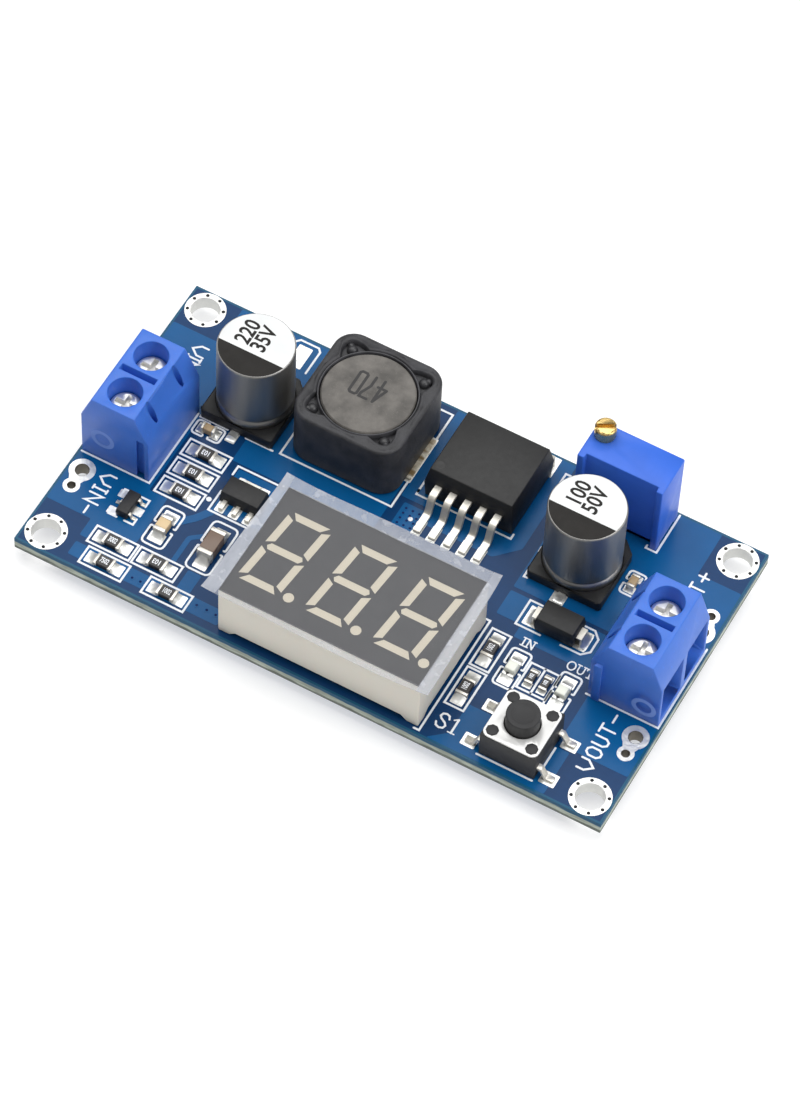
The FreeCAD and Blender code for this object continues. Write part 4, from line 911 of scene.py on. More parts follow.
PAINTED = {
    "I": (0.5, [stem(0.25, 0.17), serif(0.05, 0.45, 1.0), serif(0.05, 0.45, 0.0)]),
    "N": (1.0, [stem(0.18, 0.07), ([(0.2, 1.0), (0.8, 0.02)], 0.18), stem(0.82, 0.07), serif(0.0, 0.2, 1.0),
                serif(0.66, 0.98, 1.0), serif(0.02, 0.34, 0.0)]),
    "O": (1.0, [([(0.5 + 0.42 * x, 0.5 + 0.5 * y) for x, y in arc(0, 0, 1, 0, 360, 20)], 0.15)]),
    "U": (1.0, [([(0.2, 1.0), (0.2, 0.3), (0.32, 0.07), (0.52, 0.0), (0.72, 0.08), (0.82, 0.3), (0.82, 1.0)],
                 0.12), serif(0.0, 0.4, 1.0), serif(0.66, 0.98, 1.0)]),
    "T": (0.95, [stem(0.47, 0.17), ([(0.03, 0.78), (0.05, 1.0), (0.9, 1.0), (0.92, 0.78)], 0.08),
                 serif(0.27, 0.67, 0.0)]),
    "S": (0.72, [([(0.64, 0.74), (0.56, 0.93), (0.36, 1.0), (0.16, 0.92), (0.1, 0.74), (0.2, 0.6),
                   (0.5, 0.44), (0.63, 0.27), (0.56, 0.07), (0.34, 0.0), (0.12, 0.08), (0.04, 0.28)], 0.12)]),
    "1": (0.6, [([(0.34, 0.0), (0.34, 0.97)], 0.13), ([(0.12, 0.83), (0.34, 1.0)], 0.07),
                serif(0.14, 0.54, 0.0)]),
}
# Each word: its text, where it starts, the way it runs, the way its letters stand, and the gap between them
STROKE_WORDS = [
    ("VIN-", (-29.35, -6.75), (0, -1), (1, 0), 0.33), ("VIN+", (-29.35, 11.6), (0, -1), (1, 0), 0.17),
    ("VOUT-", (29.4, -13.4), (0, 1), (-1, 0), 0.33), ("VOUT+", (29.4, 5.6), (0, 1), (-1, 0), 0.33),
]
STROKE_HEIGHT = 1.52
PAINTED_WORDS = [("IN", (16.45, -3.8), 0.95), ("OUT", (21.6, -3.95), 0.98), ("S1", (13.55, -16.2), 1.75)]


def letter_rows(text, table, start, along, up, height, gap):
    """The strokes of a word, each with its width if the table gives one."""
    along, up, pen = Vector(along), Vector(up), Vector(start)
    for letter in text:
        width, strokes = table[letter]
        for stroke in strokes:
            points, weight = stroke if isinstance(stroke, tuple) else (stroke, None)
            yield [tuple(pen + along * x * height + up * y * height) for x, y in points], weight
        pen += along * (width + gap) * height


# Operators


class DressBoard(Operator):
    """Finish of the laminate, the masked copper, the plated holes and the vias"""

    bl_idname = "converter.dress_board"
    bl_label = "Board"

    def execute(self, context):
        looks = context.scene.board_looks
        coat("circuit_board", self.laminate(looks))
        mask = self.masked_copper(looks)
        bm = bmesh.new()
        for points, width in TRACES:
            ribbon(bm, softened(points, 0.2, False, 2), width, BOARD_TOP - SUNK, BOARD_TOP + COPPER)
        shaped("masked_traces", bm, mask, slot="board_laminate")
        openings = [round_loop(x, y, radius + 0.1, 24) for x, near, far in WIRE_HOLES
                    for y, radius in zip((near, far), WIRE_RADII)]
        pours = [softened(loop, 0.2, True, 3) for loop in POURS]
        cut_plate("masked_copper", pours + openings, BOARD_TOP - SUNK, BOARD_TOP + COPPER * 0.7, mask,
                  "board_laminate")
        bm = bmesh.new()
        cross = [(27.4, -17.4), (27.4, -12.9), (29.2, -12.9), (29.2, 12.9), (27.4, 12.9), (27.4, 17.4)]
        prism(bm, softened(cross + [(-x, y) for x, y in reversed(cross)], 0.5, True), -COPPER, SUNK)
        shaped("underside_copper", bm, mask, slot="board_laminate")
        self.plated_holes(tin())
        self.vias(looks, mask)
        return {"FINISHED"}

    def vias(self, looks, mask):
        """Masked vias as a ring with a disc of painted shade in the hollow, and the open ones round each
        mounting hole as dark dots of painted shade.
        """
        circle, dot = 1.86, 0.19
        dots, rings, hollows = [], [], []
        for x, y in MOUNT_HOLES:
            for index in range(looks.dots_per_hole):
                angle = 2 * math.pi * (index + 0.5) / looks.dots_per_hole
                spot = (x + circle * math.cos(angle), y + circle * math.sin(angle))
                dots.append(((*spot, BOARD_TOP + PAD + 0.004), 0, (dot, dot, 0.012)))
        radius = looks.via_radius / MM
        for x, y in VIAS:
            rings.append(((x, y, BOARD_TOP + COPPER), 0, (radius * 1.5, radius * 1.5, 0.03)))
            hollows.append(((x, y, BOARD_TOP + COPPER + 0.016), 0, (radius * 0.7, radius * 0.7, 0.012)))
        # The hollows, and the open ones round the mounting holes, are flat dark discs: painted shade where
        # the holes are.
        hollow = moulded("via hollow shade", from_screen(10, 36, 84), 0.7, specular_ior_level=0.1)
        hole = moulded("open via shade", from_screen(16, 18, 24), 0.7)
        repeated("via_rings", disc_tree(), rings, mask, "board_laminate", sides=20)
        repeated("via_hollow_shade", disc_tree(), hollows, hollow, "board_laminate", sides=12)
        repeated("open_via_shade", disc_tree(), dots, hole, "board_laminate", sides=12)

    def laminate(self, looks):
        """Mask on the faces, sawn glass laminate at the edges, with painted shade along the edges' bottom."""
        finish = Finish("laminate", specular_ior_level=0.17)
        height, across, along = finish.axis("Z"), finish.axis("Y"), finish.axis("X")

        def near_edge(depth):
            return (abs(along) > HALF_LENGTH - depth).or_more(abs(across) > HALF_DEPTH - depth)

        side = (height > 0.03) * (height < BOARD_TOP - 0.03) * near_edge(0.015)
        weft = finish.noise(0.5, 2.0, finish.stretched(1, 0.2, 1))
        weave = weft * 0.5 + finish.noise(0.5, 2.0, finish.stretched(0.2, 1, 1)) * 0.5
        blue = finish.mix(weave, darker(looks.laminate, 0.85), darker(looks.laminate, 1.15))
        blue = finish.mix(near_edge(0.25) * 0.4, blue, from_screen(40, 110, 130))
        layers = finish.noise(0.6, 5.0, finish.stretched(0.35, 0.35, 1.6))
        level = height + layers * 0.6
        sawn = finish.mix(finish.steep(layers, 0.35, 0.65), darker(looks.edge, 0.7), darker(looks.edge, 1.15))
        # The edge turns blue towards its top: partly mask lapping over it, partly a painted reflection of the
        # top.
        sawn = finish.mix(finish.steep(level, 1.25, 1.4), sawn, from_screen(44, 88, 118))
        # A band of painted shadow darkens the bottom of the edge.
        sawn = finish.mix(finish.steep(level, 0.78, 0.62) * 0.7, sawn, from_screen(66, 72, 66))
        rough = side * 0.45 + 0.2
        relief = weave * 0.15 + side * layers * 2.0
        return finish.show(base_color=finish.mix(side, blue, sawn), roughness=rough,
                           normal=finish.bump(relief, 0.02))

    def masked_copper(self, looks):
        finish = Finish("masked copper", specular_ior_level=0.18)
        clouds = finish.noise(3.0, 3.0)
        blue = finish.mix(clouds, darker(looks.copper, 0.88), darker(looks.copper, 1.12))
        return finish.show(base_color=blue, roughness=finish.noise(0.8) * 0.12 + 0.16,
                           normal=finish.bump(finish.noise(0.3, 3.0), 0.004))

    def plated_holes(self, material):
        layers = ((BOARD_TOP - SUNK, BOARD_TOP + PAD), (-PAD, SUNK))
        bm = bmesh.new()
        for x, y in MOUNT_HOLES:
            for low, high in layers:
                collar(bm, round_loop(x, y, 2.16, 64), round_loop(x, y, 1.54, 64), low, high)
            collar(bm, round_loop(x, y, 1.56, 64), round_loop(x, y, 1.52, 64), -PAD, BOARD_TOP + PAD)
        shaped("hole_plating", bm, material, slot="contact_metal")
        bm = bmesh.new()
        for x, near, far in WIRE_HOLES:
            for y, radius in zip((near, far), WIRE_RADII):
                collar(bm, round_loop(x, y, radius + 0.01, 40), round_loop(x, y, radius - 0.03, 40), -PAD,
                       BOARD_TOP + PAD)
        # The wire holes' walls are painted darker than their tin: painted shade inside the narrow holes.
        dull = plated("shaded hole plating", from_screen(120, 114, 102), 0.4, spread=0.3, metallic=0.8)
        shaped("wire_hole_plating", bm, dull, slot="contact_metal")
        for side, (low, high) in enumerate(layers):
            loops = []
            for x, near, far in WIRE_HOLES:
                axis = 90 if far > near else -90
                big = arc(x, near, 1.37, axis + 40, axis + 320, 40)
                small = arc(x, far, 0.88, axis + 228, axis + 492, 28)
                loops.append(big + small)
                loops.append(round_loop(x, near, WIRE_RADII[0] - 0.01, 32))
                loops.append(round_loop(x, far, WIRE_RADII[1] - 0.01, 24))
            cut_plate(f"wire_pads_{side}", loops, low, high, material, "contact_metal")


class DressPads(Operator):
    """Tinned pads, and the solder at the feet and pins of the parts"""

    bl_idname = "converter.dress_pads"
    bl_label = "Pads and solder"

    def execute(self, context):
        bm = bmesh.new()
        for x0, y0, x1, y1 in PADS:
            prism(bm, softened(box_loop(x0, y0, x1, y1), 0.12, True, 3), BOARD_TOP - SUNK, BOARD_TOP + PAD)
        for x, y, width, depth in RESISTOR_PADS:
            loop = box_loop(x - width / 2, y - depth / 2, x + width / 2, y + depth / 2)
            prism(bm, softened(loop, 0.1, True, 3), BOARD_TOP - SUNK, BOARD_TOP + PAD)
        shaped("tinned_pads", bm, tin(), slot="contact_metal")
        repeated("solder_toes", toe_tree(), self.toes(), tin(), "contact_metal", fill=0.85)
        repeated("pin_joints", cone_tree(), self.joints(), tin(), "contact_metal", tip=0.32)
        return {"FINISHED"}

    def toes(self):
        """Where each toe starts, which way it runs, and its reach, width and height."""
        low = BOARD_TOP + PAD * 0.5
        found = []

        def pair(x, y, turn, half, reach, width, height):
            for way in (0, 180):
                angle = math.radians(turn + way)
                found.append(((x + half * math.cos(angle), y + half * math.sin(angle), low), turn + way,
                              (reach, width, height)))

        for x, y in LYING_RESISTORS:
            pair(x, y, 0, 0.97, 0.95, 1.3, 0.42)
        for x, y in UPRIGHT_RESISTORS:
            pair(x, y, 90, 0.97, 0.95, 1.3, 0.42)
        for x, y in SMALL_PAIR:
            pair(x, y, 90, 0.78, 0.4, 0.85, 0.36)
        for x, y in LAMPS:
            pair(x, y, 90, 0.98, 0.7, 1.2, 0.3)
        pair(-15.35, -9.3, 90, 1.57, 0.95, 1.5, 0.95)
        pair(-20.78, -9.55, 90, 0.98, 0.8, 1.25, 0.6)
        pair(-22.75, 2.82, 0, 0.78, 0.45, 0.85, 0.5)
        pair(22.87, 8.05, 90, 0.78, 0.4, 0.85, 0.5)
        pair(19.05, -0.35, 0, 2.75, 0.65, 1.8, 0.7)
        for x in LEAD_PLACES:
            found.append(((x, 2.75, low), -90, (0.3, 0.8, 0.26)))
        for x, y in CANS.values():
            found.append(((x, y - CAN_FOOT, low), -90, (0.4, 1.0, 0.34)))
            found.append(((x, y - CAN_FOOT, low + 0.24), 90, (0.55, 0.85, 0.16)))
        return found

    def joints(self):
        """Pins through the board: a cone under each, hanging from the underside."""
        spots = [(side * TERMINAL_PIN_X, y, 1.1, 0.9) for side in (-1, 1) for y in TERMINAL_POLES[::-1]]
        spots += [(TRIMMER_PIN[0] + step * PIN_PITCH, TRIMMER_PIN[1], 0.8, 0.8) for step in (-1, 0, 1)]
        for y, count in ((-5.09, 6), (-15.25, 5)):
            spots += [(FIRST_DISPLAY_PIN + PIN_PITCH * step, y, 0.75, 0.8) for step in range(count)]
        return [((x, y, 0.0), 0, (radius, radius, -height)) for x, y, radius, height in spots]


class DressPrint(Operator):
    """White outlines, marks and letters on the board"""

    bl_idname = "converter.dress_print"
    bl_label = "Print"

    def execute(self, context):
        width = context.scene.board_looks.line_width / MM
        low, high = BOARD_TOP - 0.005, BOARD_TOP + PRINT
        bm = bmesh.new()
        for loop in CLOSED_LINES:
            ribbon(bm, loop, width, low, high)
        for points in LINES:
            ribbon(bm, points, width, low, high)
        for box in NICKED_BOXES:
            for half in nicked_box(*box):
                ribbon(bm, half, width, low, high)
        for x, y, radius in ROUND_MARKS:
            prism(bm, round_loop(x, y, radius, 16), low, high)
        shaped("outlines", bm, print_ink(), slot="board_laminate")
        bm = bmesh.new()
        # Crossing strokes lie at heights of their own, so that no two tops share a plane.
        step = 0.001
        for text, start, along, up, gap in STROKE_WORDS:
            rows = letter_rows(text, STROKES, start, along, up, STROKE_HEIGHT, gap)
            for index, (points, _) in enumerate(rows):
                ribbon(bm, points, width, low, high + step * index)
        for text, start, height in PAINTED_WORDS:
            rows = letter_rows(text, PAINTED, start, (1, 0), (0, 1), height, 0.06)
            for index, (points, weight) in enumerate(rows):
                ribbon(bm, points, max(0.14, weight * height), low, high + step * index)
        shaped("letters", bm, print_ink(), slot="board_laminate")
        return {"FINISHED"}


class DressTerminals(Operator):
    """Screw terminals: moulded housings, screws, clamps and contacts"""

    bl_idname = "converter.dress_terminals"
    bl_label = "Screw terminals"

    def execute(self, context):
        looks = context.scene.terminal_looks
        plastic = self.plastic(looks)
        frosted = moulded("frosted mark", from_screen(112, 146, 222), 0.75)
        for side in ("input", "output"):
            knife = self.vents(-25.93 if side == "input" else 25.93)
            dressed(f"{side}_terminal_housing", plastic, looks.edge_round / MM, 2, knife, True)
            bpy.data.objects.remove(knife)
            dressed(f"{side}_terminal_contacts", tin(), 0.0)
            for pole in ("back", "front"):
                dressed(f"{side}_{pole}_screw", nickel(), 0.0)
                dressed(f"{side}_{pole}_clamp", nickel(), 0.05, 1, faceted=True)
        bm = bmesh.new()
        for x, z, face in ((-30.2, 3.5, -5.44), (31.1, 2.9, -5.86)):
            older = len(bm.verts)
            collar(bm, round_loop(x, 0, 1.35, 40), round_loop(x, 0, 0.85, 40), 0, 0.012)
            upright = Matrix.Rotation(math.radians(90), 4, "X")
            place = Matrix.Translation((0, face + 0.004, BOARD_TOP + z)) @ upright
            bmesh.ops.transform(bm, matrix=place, verts=list(bm.verts)[older:])
        shaped("ejector_marks", bm, frosted, slot="terminal_plastic")
        return {"FINISHED"}

    def vents(self, x):
        """The cutter for the two eye shaped openings in a housing's sloped flank."""
        half_width, half_length, low, high = 0.62, 0.37, 5.9, 12.0
        bm = bmesh.new()
        for y in TERMINAL_POLES:
            eye = [(x + half_width * across, y + half_length * along)
                   for across, along in round_loop(0, 0, 1, 24)]
            prism(bm, eye, low, high)
        mesh = bpy.data.meshes.new("vents")
        bm.to_mesh(mesh)
        bm.free()
        mesh.transform(Matrix.Scale(MM, 4))
        return linked("vents", mesh, nickel())

    def plastic(self, looks):
        finish = Finish("terminal plastic", subsurface_weight=0.1, subsurface_scale=0.001,
                        specular_ior_level=0.35)
        clouds = finish.noise(2.2, 3.0)
        colour = finish.mix(clouds, darker(looks.plastic, 0.9), darker(looks.plastic, 1.1))
        scuffs = finish.steep(finish.noise(0.35, 5.0, finish.stretched(1, 1, 0.4)), 0.62, 0.8)
        colour = finish.mix(scuffs * 0.25, colour, darker(looks.plastic, 1.7))
        return finish.show(base_color=colour, roughness=scuffs * 0.15 + finish.noise(0.6) * 0.12 + 0.3,
                           normal=finish.bump(finish.noise(0.16, 4.0), 0.006))


class DressCapacitors(Operator):
    """Electrolytic capacitors: turned cans with their printed tops, bases and leads"""

    bl_idname = "converter.dress_capacitors"
    bl_label = "Electrolytic capacitors"

    def execute(self, context):
        looks = context.scene.capacitor_looks
        can = self.can(looks)
        top = moulded("can top", looks.top, 0.4, grain=0.2, depth=0.006, spread=0.1, metallic=0.3)
        mark = moulded("can mark", looks.mark, 0.6, grain=0.14, depth=0.01, spread=0.4,
                       specular_ior_level=0.25)
        z, disc = BOARD_TOP, 3.86
        for side, lines in (("input", ("220", "35V")), ("output", ("100", "50V"))):
            x, y = CANS[side]
            bm = bmesh.new()
            wall = [(4.0, z + 0.75), (4.0, z + 1.85), (3.66, z + 2.17), (4.0, z + 2.5), (4.0, z + 10.1),
                    (3.9, z + 10.22), (3.8, z + 10.22)]
            turned(bm, [(0.0, z + 0.75)] + softened(wall, 0.22, False, 5) + [(0.0, z + 10.22)], x, y, 96)
            shaped(f"{side}_can", bm, can, slot="can_metal", replaces=[f"{side}_capacitor_can"], angle=50)
            bm = bmesh.new()
            prism(bm, round_loop(x, y, disc, 96), z + 10.19, z + 10.227)
            shaped(f"{side}_can_top", bm, top, slot="can_metal")
            bm = bmesh.new()
            reach = math.degrees(math.asin(1.1 / disc))
            prism(bm, arc(x, y, disc, 180 + reach, 360 - reach, 40), z + 10.2, z + 10.234)
            shaped(f"{side}_can_mark", bm, mark, slot="can_metal")
            for index, text in enumerate(lines):
                numbers(f"{side}_can_number_{index}", text, 2.35, x - 1.5 + 1.85 * index, y + 1.0, z + 10.231,
                        90, mark, "can_metal", stretch=0.84, bold=0.05)
            dressed(f"{side}_capacitor_base", moulding(), 0.12, 2, faceted=True)
            coat(f"{side}_capacitor_leads", tin())
        return {"FINISHED"}

    def can(self, looks):
        finish = Finish("drawn aluminium", metallic=1.0)
        drawn = finish.noise(0.12, 3.0, finish.stretched(1, 1, 0.08))
        clouds = finish.noise(1.6, 2.0, finish.stretched(1, 1, 0.3))
        colour = finish.mix(drawn * 0.5 + clouds * 0.5, darker(looks.can, 0.86), darker(looks.can, 1.08))
        return finish.show(base_color=colour, roughness=drawn * 0.16 + 0.38, normal=finish.bump(drawn, 0.006))


class DressInductor(Operator):
    """Shielded inductor: shield, drum, winding, solder plates and its number"""

    bl_idname = "converter.dress_inductor"
    bl_label = "Inductor"

    def execute(self, context):
        looks = context.scene.inductor_looks
        self.shield(looks)
        bm = bmesh.new()
        flanges = [(4.7, 1.95), (4.7, 3.1), (2.6, 3.1), (2.6, 7.6), (4.86, 7.6), (4.86, 8.68), (4.7, 8.84)]
        turned(bm, [(0.0, 1.95)] + softened(flanges, 0.1, False, 3) + [(0.0, 8.84)], -8.8, 10.55, 96)
        shaped("drum", bm, self.ferrite("ferrite drum", looks.drum, 0.6, 0.3), slot="ferrite",
               replaces=["inductor_drum"])
        wire = moulded("winding", from_screen(120, 62, 30), 0.35, grain=0.3)
        coat("inductor_winding", wire)
        coat("inductor_plates", self.plates())
        ink = moulded("inductor ink", from_screen(32, 31, 32), 0.5)
        bm = bmesh.new()
        rows = letter_rows("470", STROKES, (-7.35, 12.6), (-1, 0), (0, -1), 2.8, 0.13)
        for index, (points, _) in enumerate(rows):
            ribbon(bm, points, 0.3, 8.835, 8.846 + 0.002 * index)
        shaped("inductor_number", bm, ink, slot="ferrite")
        return {"FINISHED"}

    def shield(self, looks):
        """A rounded square whose bore has a lip and opens into an ear with a wire end at each corner."""
        middle, half, corner, low, top = Vector((-8.8, 10.55)), 6.05, 2.3, 1.9, 8.9
        inset = half - corner
        ways = [2 * math.pi * step / 240 for step in range(240)]

        def wall(lost):
            loop = []
            for way in ways:
                long, short = sorted((abs(math.cos(way)), abs(math.sin(way))), reverse=True)
                reach = half / long
                if reach * short > inset:
                    along = (long + short) * inset
                    reach = along + math.sqrt(along ** 2 - 2 * inset ** 2 + corner ** 2)
                loop.append(tuple(middle + Vector((math.cos(way), math.sin(way))) * (reach - lost)))
            return loop

        def opening(radius, ear):
            loop = []
            for way in ways:
                near = max(0.0, (-math.cos(4 * way) - 0.35) / 0.65)
                reach = radius + ear * near ** 1.3 * (1.0 + 0.12 * math.sin(3 * way))
                loop.append(tuple(middle + Vector((math.cos(way), math.sin(way))) * reach))
            return loop

        bm = bmesh.new()
        outer = [(wall(0), low), (wall(0), top - 0.3), (wall(0.07), top - 0.1), (wall(0.25), top),
                 (wall(0.5), top + 0.01)]
        inner = [(5.62, 1.6, -0.03), (5.48, 1.5, 0.06), (5.32, 1.45, 0.07), (5.18, 1.4, -0.05),
                 (5.15, 1.3, -0.65), (5.12, 0, -0.75), (5.12, 0, low - top)]
        ringed(bm, outer + [(opening(radius, ear), top + rise) for radius, ear, rise in inner])
        shaped("shield", bm, self.ferrite("ferrite shield", looks.ferrite, 0.5, 0.3), slot="ferrite",
               replaces=["inductor_shield"], angle=50)
        bm = bmesh.new()
        lip = [(5.17, 2.0), (5.17, 0.12), (5.12, 0.03), (5.03, 0.03), (4.98, 0.12), (4.98, 2.0)]
        ringed(bm, [(round_loop(*middle, radius, 96), top - drop) for radius, drop in lip])
        shaped("bore_lip", bm, self.ferrite("ferrite lip", darker(looks.ferrite, 1.5), 0.45, 0.3),
               slot="ferrite", angle=50)
        bm = bmesh.new()
        for quarter in range(4):
            way = math.radians(45 + 90 * quarter)
            for reach, size in ((5.82, 0.6), (6.25, 0.42)):
                spot = middle + Vector((math.cos(way), math.sin(way))) * reach
                rise = top - 0.8
                turned(bm, [(0.0, rise), (size, rise), (size * 0.95, rise + 0.3), (size * 0.7, rise + 0.55),
                            (size * 0.35, rise + 0.68), (0.0, rise + 0.7)], *spot, 20)
        lacquer = moulded("lacquered wire", darker(looks.ferrite, 0.8), 0.38, grain=0.3, depth=0.03,
                          spread=0.3)
        shaped("wire_ends", bm, lacquer, slot="copper_wire", angle=60)

    def ferrite(self, name, colour, roughness, speckle):
        finish = Finish(name, specular_ior_level=0.4)
        mottle = finish.noise(1.6, 8.0)
        grain = finish.noise(0.16, 4.0)
        tone = finish.mix(finish.steep(mottle, 0.3, 0.7), darker(colour, 0.62), darker(colour, 1.4))
        # Light specks: partly the ferrite's own grains and scratches, partly painted glints.
        specks = finish.steep(grain, 0.62, 0.74) * speckle
        return finish.show(base_color=finish.mix(specks, tone, darker(colour, 2.4)),
                           roughness=mottle * 0.3 + (roughness - 0.15),
                           normal=finish.bump(grain + mottle * 2, 0.03))

    def plates(self):
        finish = Finish("solder plates", metallic=1.0)
        stripes = finish.noise(0.8, 5.0, finish.stretched(0.5, 1.3, 1))
        dull, bright = from_screen(150, 128, 92), from_screen(226, 222, 208)
        return finish.show(base_color=finish.mix(finish.steep(stripes, 0.35, 0.65), dull, bright),
                           roughness=stripes * 0.3 + 0.2, normal=finish.bump(stripes, 0.05))


class DressConverter(Operator):
    """Converter chip: moulded body, heat tab and bent leads"""

    bl_idname = "converter.dress_converter"
    bl_label = "Converter chip"

    def execute(self, context):
        dressed("converter_body", moulding(), 0.1, 2)
        tab = dressed("converter_tab", leadframe(), 0.08, 2)
        far_end, drawn_back = 16.5, 0.75
        for vert in tab.data.vertices:
            if vert.co.y > far_end * MM:
                vert.co.y -= drawn_back * MM
        self.leads()
        dimple = moulded("mould mark", from_screen(18, 18, 18), 0.45, depth=0.001)
        bm = bmesh.new()
        profile = [(0.0, 6.053), (0.36, 6.055), (0.45, 6.066), (0.5, 6.052), (0.5, 6.04), (0.0, 6.04)]
        turned(bm, profile, 0.75, 8.3, 32)
        shaped("pin_one_mark", bm, dimple, slot="black_plastic")
        return {"FINISHED"}

    def leads(self):
        """Five strips that leave the body level, drop and end in flat feet."""
        route = softened([(7.7, 3.9), (5.75, 3.88), (5.05, 1.87), (2.55, 1.85)], 0.55, False, 6)
        left, right = outline_of(route, 0.48)
        half_width = 0.38
        bm = bmesh.new()
        for x in LEAD_PLACES:
            prism(bm, left + right[::-1], x - half_width, x + half_width)
        upright = Matrix(((0, 0, 1, 0), (1, 0, 0, 0), (0, 1, 0, 0), (0, 0, 0, 1)))
        bmesh.ops.transform(bm, matrix=upright, verts=bm.verts)
        sharp = [edge for edge in bm.edges if edge.calc_face_angle(0) > 1.2]
        bmesh.ops.bevel(bm, geom=sharp, offset=0.04, segments=2, affect="EDGES")
        shaped("leads", bm, leadframe(), slot="contact_metal", replaces=["converter_leads"])


class DressTrimmer(Operator):
    """Multi turn trimmer: housing, adjusting screw and pins"""

    bl_idname = "converter.dress_trimmer"
    bl_label = "Trimmer"

    def execute(self, context):
        looks = context.scene.trimmer_looks
        plastic = moulded("trimmer plastic", looks.plastic, 0.4, grain=0.15, depth=0.008,
                          specular_ior_level=0.35)
        brass = plated("turned brass", looks.brass, 0.26, grain=0.2, streak=(1, 1, 3))
        dressed("trimmer_housing", plastic, 0.12, 2)
        screw = dressed("trimmer_screw", brass, 0.06, 2, faceted=True)
        axis = Matrix.Translation((*(value * MM for value in TRIMMER_AXIS), 0))
        slot_turn = math.radians(29)
        screw.data.transform(axis @ Matrix.Rotation(slot_turn, 4, "Z") @ axis.inverted())
        coat("trimmer_pins", tin())
        return {"FINISHED"}


class DressDisplay(Operator):
    """Voltmeter display: shell, face, bars, pins and the film over it"""

    bl_idname = "converter.dress_display"
    bl_label = "Display"

    def execute(self, context):
        looks = context.scene.display_looks
        shell = moulded("display shell", looks.shell, 0.42, grain=0.25, depth=0.006, spread=0.04,
                        subsurface_weight=0.1, subsurface_scale=0.001)
        face = moulded("display face", looks.face, 0.5, grain=0.1, depth=0.003, spread=0.06)
        bars = moulded("bar resin", looks.bars, 0.4, grain=0.4, depth=0.002, spread=0.05)
        dressed("display_housing", shell, 0.16, 3)
        coat("display_face", face)
        coat("display_segments", bars)
        coat("display_pins", tin())
        self.film(looks)
        return {"FINISHED"}

    def film(self, looks):
        """A thin sheet that lies on the face, waves a little and lifts at its corners."""
        columns, rows = 60, 40
        (x0, y0, _), (x1, y1, _) = (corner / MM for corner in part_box("display_film"))
        bm = bmesh.new()
        grid = []
        for row in range(rows + 1):
            line = []
            for column in range(columns + 1):
                u, v = column / columns, row / rows
                y = y0 + (y1 - y0) * v
                x = x0 - 0.25 + 0.6 * v + (x1 - x0 + 0.45 - 0.95 * v) * u
                edge = max(abs(2 * u - 1), abs(2 * v - 1))
                lift = 0.28 * max(0.0, edge - 0.8) ** 2 * 25 * (0.5 + 0.5 * math.sin(7 * u + 4 * v))
                corner = (abs(2 * u - 1) * abs(2 * v - 1)) ** 6 * 0.35
                wave = 0.02 * math.sin(19 * u + 3) * math.sin(11 * v + 1)
                line.append(bm.verts.new((x, y, FACE_TOP + lift + corner + wave + 0.02)))
            grid.append(line)
        for first, second in zip(grid, grid[1:]):
            for index in range(columns):
                bm.faces.new((first[index], first[index + 1], second[index + 1], second[index]))
        piece = shaped("film", bm, self.film_finish(looks), slot="film_plastic")
        wall = piece.modifiers.new("thickness", "SOLIDIFY")
        wall.thickness = 0.05 * MM
        wall.offset = 1.0
        settled(piece)
        smoothed(piece.data, 60.0)
        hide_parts("display_film")

    def film_finish(self, looks):
        finish = Finish("film", roughness=0.2, ior=1.45)
        face = [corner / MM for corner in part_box("display_face")]
        middle, half = (face[0][0] + face[1][0]) / 2, (face[1][0] - face[0][0]) / 2
        side = finish.steep(abs(finish.axis("X") - middle), half - 0.14, half) * 0.6
        back = finish.steep(finish.axis("Y"), face[1][1] - 0.24, face[1][1] - 0.12) * 0.45
        front = finish.steep(finish.axis("Y"), face[0][1], face[0][1] - 0.4) * 0.26
        rim = side.or_more(back).or_more(front)
        streaks = finish.noise(1.1, 4.0, finish.stretched(1, 0.35, 1))
        glints = finish.steep(finish.noise(1.3, 3.0), 0.56, 0.64) * rim
        # The film is less clear along its rim: partly frosted film, partly painted reflection in streaks,
        # with painted glints.
        haze_and_sheen = rim * (streaks * 0.6 + 0.38) + glints * 0.35 + 0.025
        return finish.show(base_color=tuple(looks.film), alpha=haze_and_sheen, roughness=streaks * 0.2 + 0.1,
                           normal=finish.bump(finish.noise(2.5, 3.0), 0.05))


class DressSwitch(Operator):
    """Push switch: base with its rivets, bright cover, plunger and leads"""

    bl_idname = "converter.dress_switch"
    bl_label = "Push switch"

    def execute(self, context):
        looks = context.scene.switch_looks
        cover = plated("bright cover", looks.cover, 0.36, grain=0.5, depth=0.004, spread=0.05,
                       streak=(1, 0.15, 1), metallic=0.35)
        black = moulded("switch plastic", looks.plunger, 0.55, grain=0.12, depth=0.005, spread=0.15,
                        specular_ior_level=0.3)
        dressed("switch_base", black, 0.07, 2)
        dressed("switch_cover", cover, 0.04, 2)
        dressed("switch_leads", leadframe(), 0.04, 1)
        x, y, r = 21.94, -13.75, 1.72
        bm = bmesh.new()
        profile = [(r + 0.33, 4.6), (r + 0.33, 5.0), (r, 5.0), (r, 7.0), (1.2, 6.98), (1.1, 6.94)]
        turned(bm, [(0.0, 4.6)] + softened(profile, 0.16, False, 4) + [(0.0, 6.94)], x, y, 64)
        shaped("plunger", bm, black, body="plunger_body", slot="black_plastic", replaces=["switch_plunger"])
        return {"FINISHED"}


